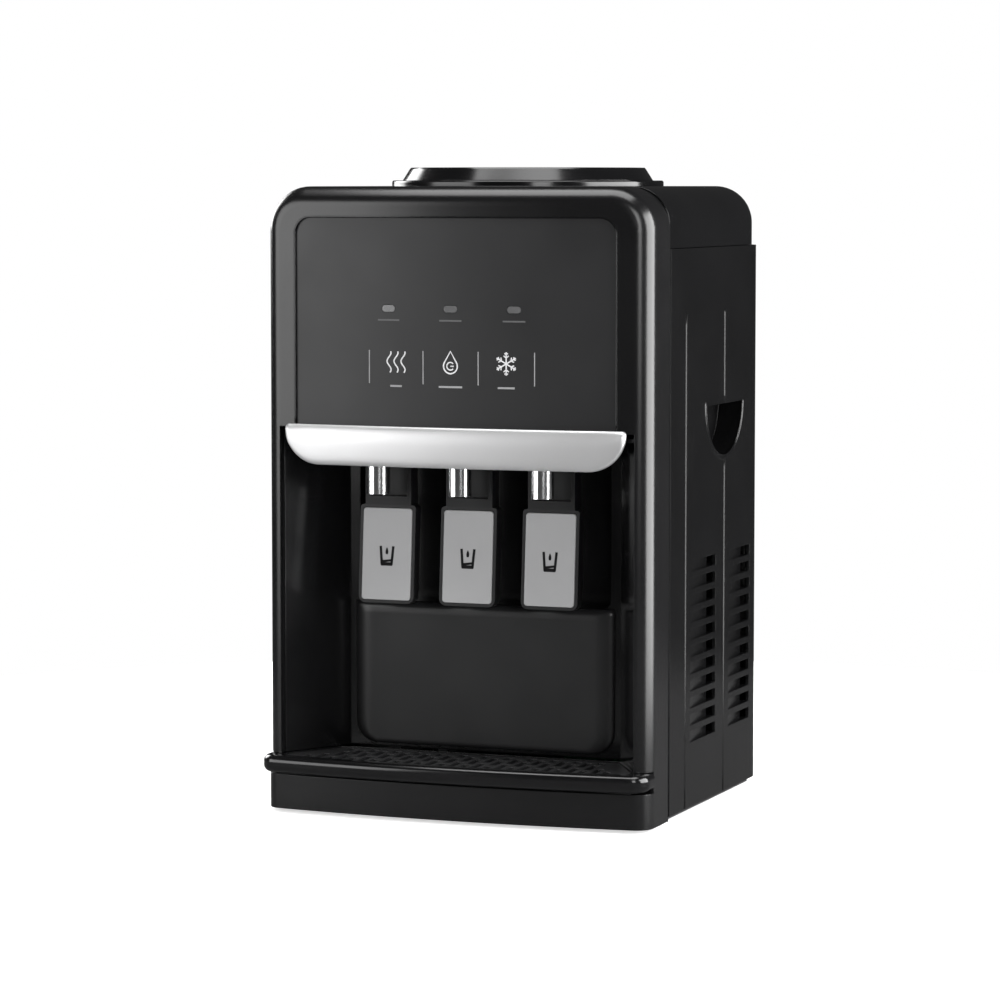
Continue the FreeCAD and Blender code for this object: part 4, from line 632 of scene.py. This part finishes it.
def make_backsplash():
    """The splash panel of the niche, whose two upright edges roll back."""
    low, high = [Vector(corner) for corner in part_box("backsplash_panel")]
    roll = 13 * MM
    corner = 15 * MM
    side_fall = high.y - low.y - 0.4 * MM
    foot_tall, foot_fall = 3 * MM, 1.6 * MM
    head_tall, head_fall = 1.5 * MM, 1.2 * MM
    rows = 36
    columns = 72

    def reach(z):
        """Half the panel's width at this height."""
        up = z - low.z
        cut = corner - math.sqrt(max(0.0, corner ** 2 - (corner - up) ** 2)) if up < corner else 0.0
        return high.x - cut

    def rolled(share):
        """How far a quarter round falls, from 0 at its start to 1 at its edge."""
        return 1 - math.sqrt(max(0.0, 1 - share * share))

    def between(share):
        return min(1.0, max(0.0, share))

    front = []
    back = []
    for n in range(rows + 1):
        z = low.z + (high.z - low.z) * (1 - math.cos(math.pi / 2 * n / rows))
        half = reach(z)
        for m in range(columns + 1):
            x = -half * math.cos(math.pi * m / columns)
            fall = max(side_fall * rolled(between((abs(x) - (half - roll)) / roll)),
                       foot_fall * rolled(between(1 - (z - low.z) / foot_tall)),
                       head_fall * rolled(between(1 - (high.z - z) / head_tall)))
            front.append((x, low.y + fall, z))
            back.append((x, high.y, z))
    wide = columns + 1
    total = len(front)
    faces = []
    for n in range(rows):
        for m in range(columns):
            a = n * wide + m
            faces.append((a, a + 1, a + wide + 1, a + wide))
            faces.append((total + a, total + a + wide, total + a + wide + 1, total + a + 1))
    rim = list(range(wide)) + [n * wide + columns for n in range(1, rows + 1)]
    rim += [rows * wide + m for m in range(columns - 1, -1, -1)] + [n * wide for n in range(rows - 1, 0, -1)]
    for index, a in enumerate(rim):
        b = rim[(index + 1) % len(rim)]
        faces.append((a, b, total + b, total + a))
    piece = add_piece("backsplash", front + back, faces, "splash")
    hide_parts("backsplash_panel")


# ---------------------------------------------------------------- valve springs

SPRING_TURNS = 4
SPRING_STEPS = 20
SPRING_AROUND = 8
SPRING_WIRE = 0.42 * MM


def coil(cx, cy, foot, head, outside):
    """A coil between two heights, whose wire reaches out to the outside radius."""
    radius = outside - SPRING_WIRE
    tall = head - foot - 2 * SPRING_WIRE
    count = SPRING_TURNS * SPRING_STEPS
    vertices = []
    for n in range(count + 1):
        turn = 2 * math.pi * n / SPRING_STEPS
        out = Vector((math.cos(turn), math.sin(turn), 0))
        centre = Vector((cx, cy, foot + SPRING_WIRE + tall * n / count)) + out * radius
        for m in range(SPRING_AROUND):
            lift = 2 * math.pi * m / SPRING_AROUND
            up = Vector((0, 0, SPRING_WIRE * math.sin(lift)))
            vertices.append(centre + out * (SPRING_WIRE * math.cos(lift)) + up)
    faces = []
    for n in range(count):
        for m in range(SPRING_AROUND):
            a = n * SPRING_AROUND + m
            b = n * SPRING_AROUND + (m + 1) % SPRING_AROUND
            faces.append((a, b, b + SPRING_AROUND, a + SPRING_AROUND))
    end = count * SPRING_AROUND
    faces += [tuple(range(SPRING_AROUND)), tuple(reversed(range(end, end + SPRING_AROUND)))]
    return vertices, faces


def make_springs():
    """The valve springs as coils, each in place of its part and with a mesh of its own."""
    for kind in ("hot", "normal", "cold"):
        low, high = [Vector(corner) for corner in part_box(f"{kind}_valve_spring")]
        cx, cy = (low.x + high.x) / 2, (low.y + high.y) / 2
        vertices, faces = coil(cx, cy, low.z, high.z, (high.x - low.x) / 2)
        piece = add_piece(f"{kind}_spring_coil", vertices, faces, "steel")
        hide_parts(f"{kind}_valve_spring")
        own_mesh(piece)


# ---------------------------------------------------------------- stage

FLOOR_REACH = 0.8
FLOOR_GLOW = 0.62
FLOOR_MIRRORED = 0.2
BACKDROP_GLOW = 1.0
ROOM_GLOW = 0.035


def area_light(name, place, aim, wide, tall, power):
    data = bpy.data.lights.new(name, "AREA")
    data.shape = "RECTANGLE"
    data.size = wide
    data.size_y = tall
    data.energy = power
    lamp = bpy.data.objects.new(name, data)
    lamp.location = place
    lamp.visible_camera = False
    direction = Vector(aim) - Vector(place)
    lamp.rotation_euler = direction.to_track_quat("-Z", "Y").to_euler()
    bpy.context.collection.objects.link(lamp)


def floor_material():
    """Pale paper that glows a little, and shows dimmer in the gloss of the black parts."""
    material, nodes, links, shader = new_material("floor_paper")
    where = nodes.new("ShaderNodeTexCoord")
    tone = noise(nodes, links, where, 3.0)
    ramp = nodes.new("ShaderNodeValToRGB")
    ramp.color_ramp.elements[0].color = (0.93, 0.93, 0.93, 1)
    ramp.color_ramp.elements[1].color = (0.95, 0.95, 0.95, 1)
    links.new(tone, ramp.inputs["Fac"])
    links.new(ramp.outputs["Color"], shader.inputs["Base Color"])
    shader.inputs["Roughness"].default_value = 0.9
    shader.inputs["Specular IOR Level"].default_value = 0.1
    shader.inputs["Emission Color"].default_value = (1, 1, 1, 1)
    shader.inputs["Emission Strength"].default_value = FLOOR_GLOW
    mirrored = nodes.new("ShaderNodeEmission")
    mirrored.inputs["Color"].default_value = (1, 1, 1, 1)
    mirrored.inputs["Strength"].default_value = FLOOR_MIRRORED
    path = nodes.new("ShaderNodeLightPath")
    pick = nodes.new("ShaderNodeMixShader")
    links.new(path.outputs["Is Glossy Ray"], pick.inputs["Fac"])
    links.new(shader.outputs["BSDF"], pick.inputs[1])
    links.new(mirrored.outputs["Emission"], pick.inputs[2])
    output = next(node for node in nodes if node.type == "OUTPUT_MATERIAL")
    links.new(pick.outputs["Shader"], output.inputs["Surface"])
    return material


def make_floor():
    """A round floor, small enough that its far part isn't mirrored in the side panels."""
    rim = 96
    vertices = [(0, 0, 0)]
    for n in range(rim):
        turn = 2 * math.pi * n / rim
        vertices.append((FLOOR_REACH * math.cos(turn), FLOOR_REACH * math.sin(turn), 0))
    mesh = bpy.data.meshes.new("floor")
    mesh.from_pydata(vertices, [], [(0, 1 + n, 1 + (n + 1) % rim) for n in range(rim)])
    floor = bpy.data.objects.new("floor", mesh)
    bpy.context.collection.objects.link(floor)
    mesh.materials.append(floor_material())


def make_world():
    """A white backdrop for the camera, in a room that is nearly dark for everything else."""
    world = bpy.data.worlds.new("studio")
    bpy.context.scene.world = world
    world.use_nodes = True
    nodes, links = world.node_tree.nodes, world.node_tree.links
    nodes.clear()
    output = nodes.new("ShaderNodeOutputWorld")
    path = nodes.new("ShaderNodeLightPath")
    mix = nodes.new("ShaderNodeMixShader")
    links.new(path.outputs["Is Camera Ray"], mix.inputs["Fac"])
    for socket, strength in ((1, ROOM_GLOW), (2, BACKDROP_GLOW)):
        background = nodes.new("ShaderNodeBackground")
        background.inputs["Color"].default_value = (1, 1, 1, 1)
        background.inputs["Strength"].default_value = strength
        links.new(background.outputs["Background"], mix.inputs[socket])
    links.new(mix.outputs["Shader"], output.inputs["Surface"])
    bpy.context.scene.view_settings.view_transform = "Standard"


def make_lights():
    area_light("right_softbox", (1.4, 0.2, 0.5), (0.1, 0, 0.22), 1.5, 1.3, 60)
    area_light("front_right_softbox", (0.95, -1.5, 0.75), (0, 0, 0.25), 0.5, 1.0, 9)
    area_light("left_softbox", (-1.65, -1.6, 0.6), (0, 0, 0.25), 1.7, 1.3, 27)
    area_light("overhead", (0.0, -0.2, 1.9), (0, 0, 0.3), 1.6, 1.2, 34)
    area_light("rear_softbox", (-1.9, 1.1, 0.9), (0, 0, 0.25), 1.1, 1.0, 26)


AZIMUTH = math.radians(21.05)
PITCH = math.radians(4.62)
EYE = (0.957, -2.5155, 0.4359)
LENS = 137.7
SHIFT_UP = -0.0096


def make_camera():
    data = bpy.data.cameras.new("camera")
    data.sensor_width = 36
    data.lens = LENS
    data.shift_y = SHIFT_UP
    camera = bpy.data.objects.new("camera", data)
    bpy.context.collection.objects.link(camera)
    camera.location = EYE
    camera.rotation_euler = (math.pi / 2 - PITCH, 0, AZIMUTH)
    bpy.context.scene.camera = camera


dress_cad_nodes()
make_trim_bar()
make_marks()
make_pad_marks()
make_panel_bead()
make_backsplash()
make_springs()
make_side_beads()
make_floor()
make_world()
make_lights()
make_camera()
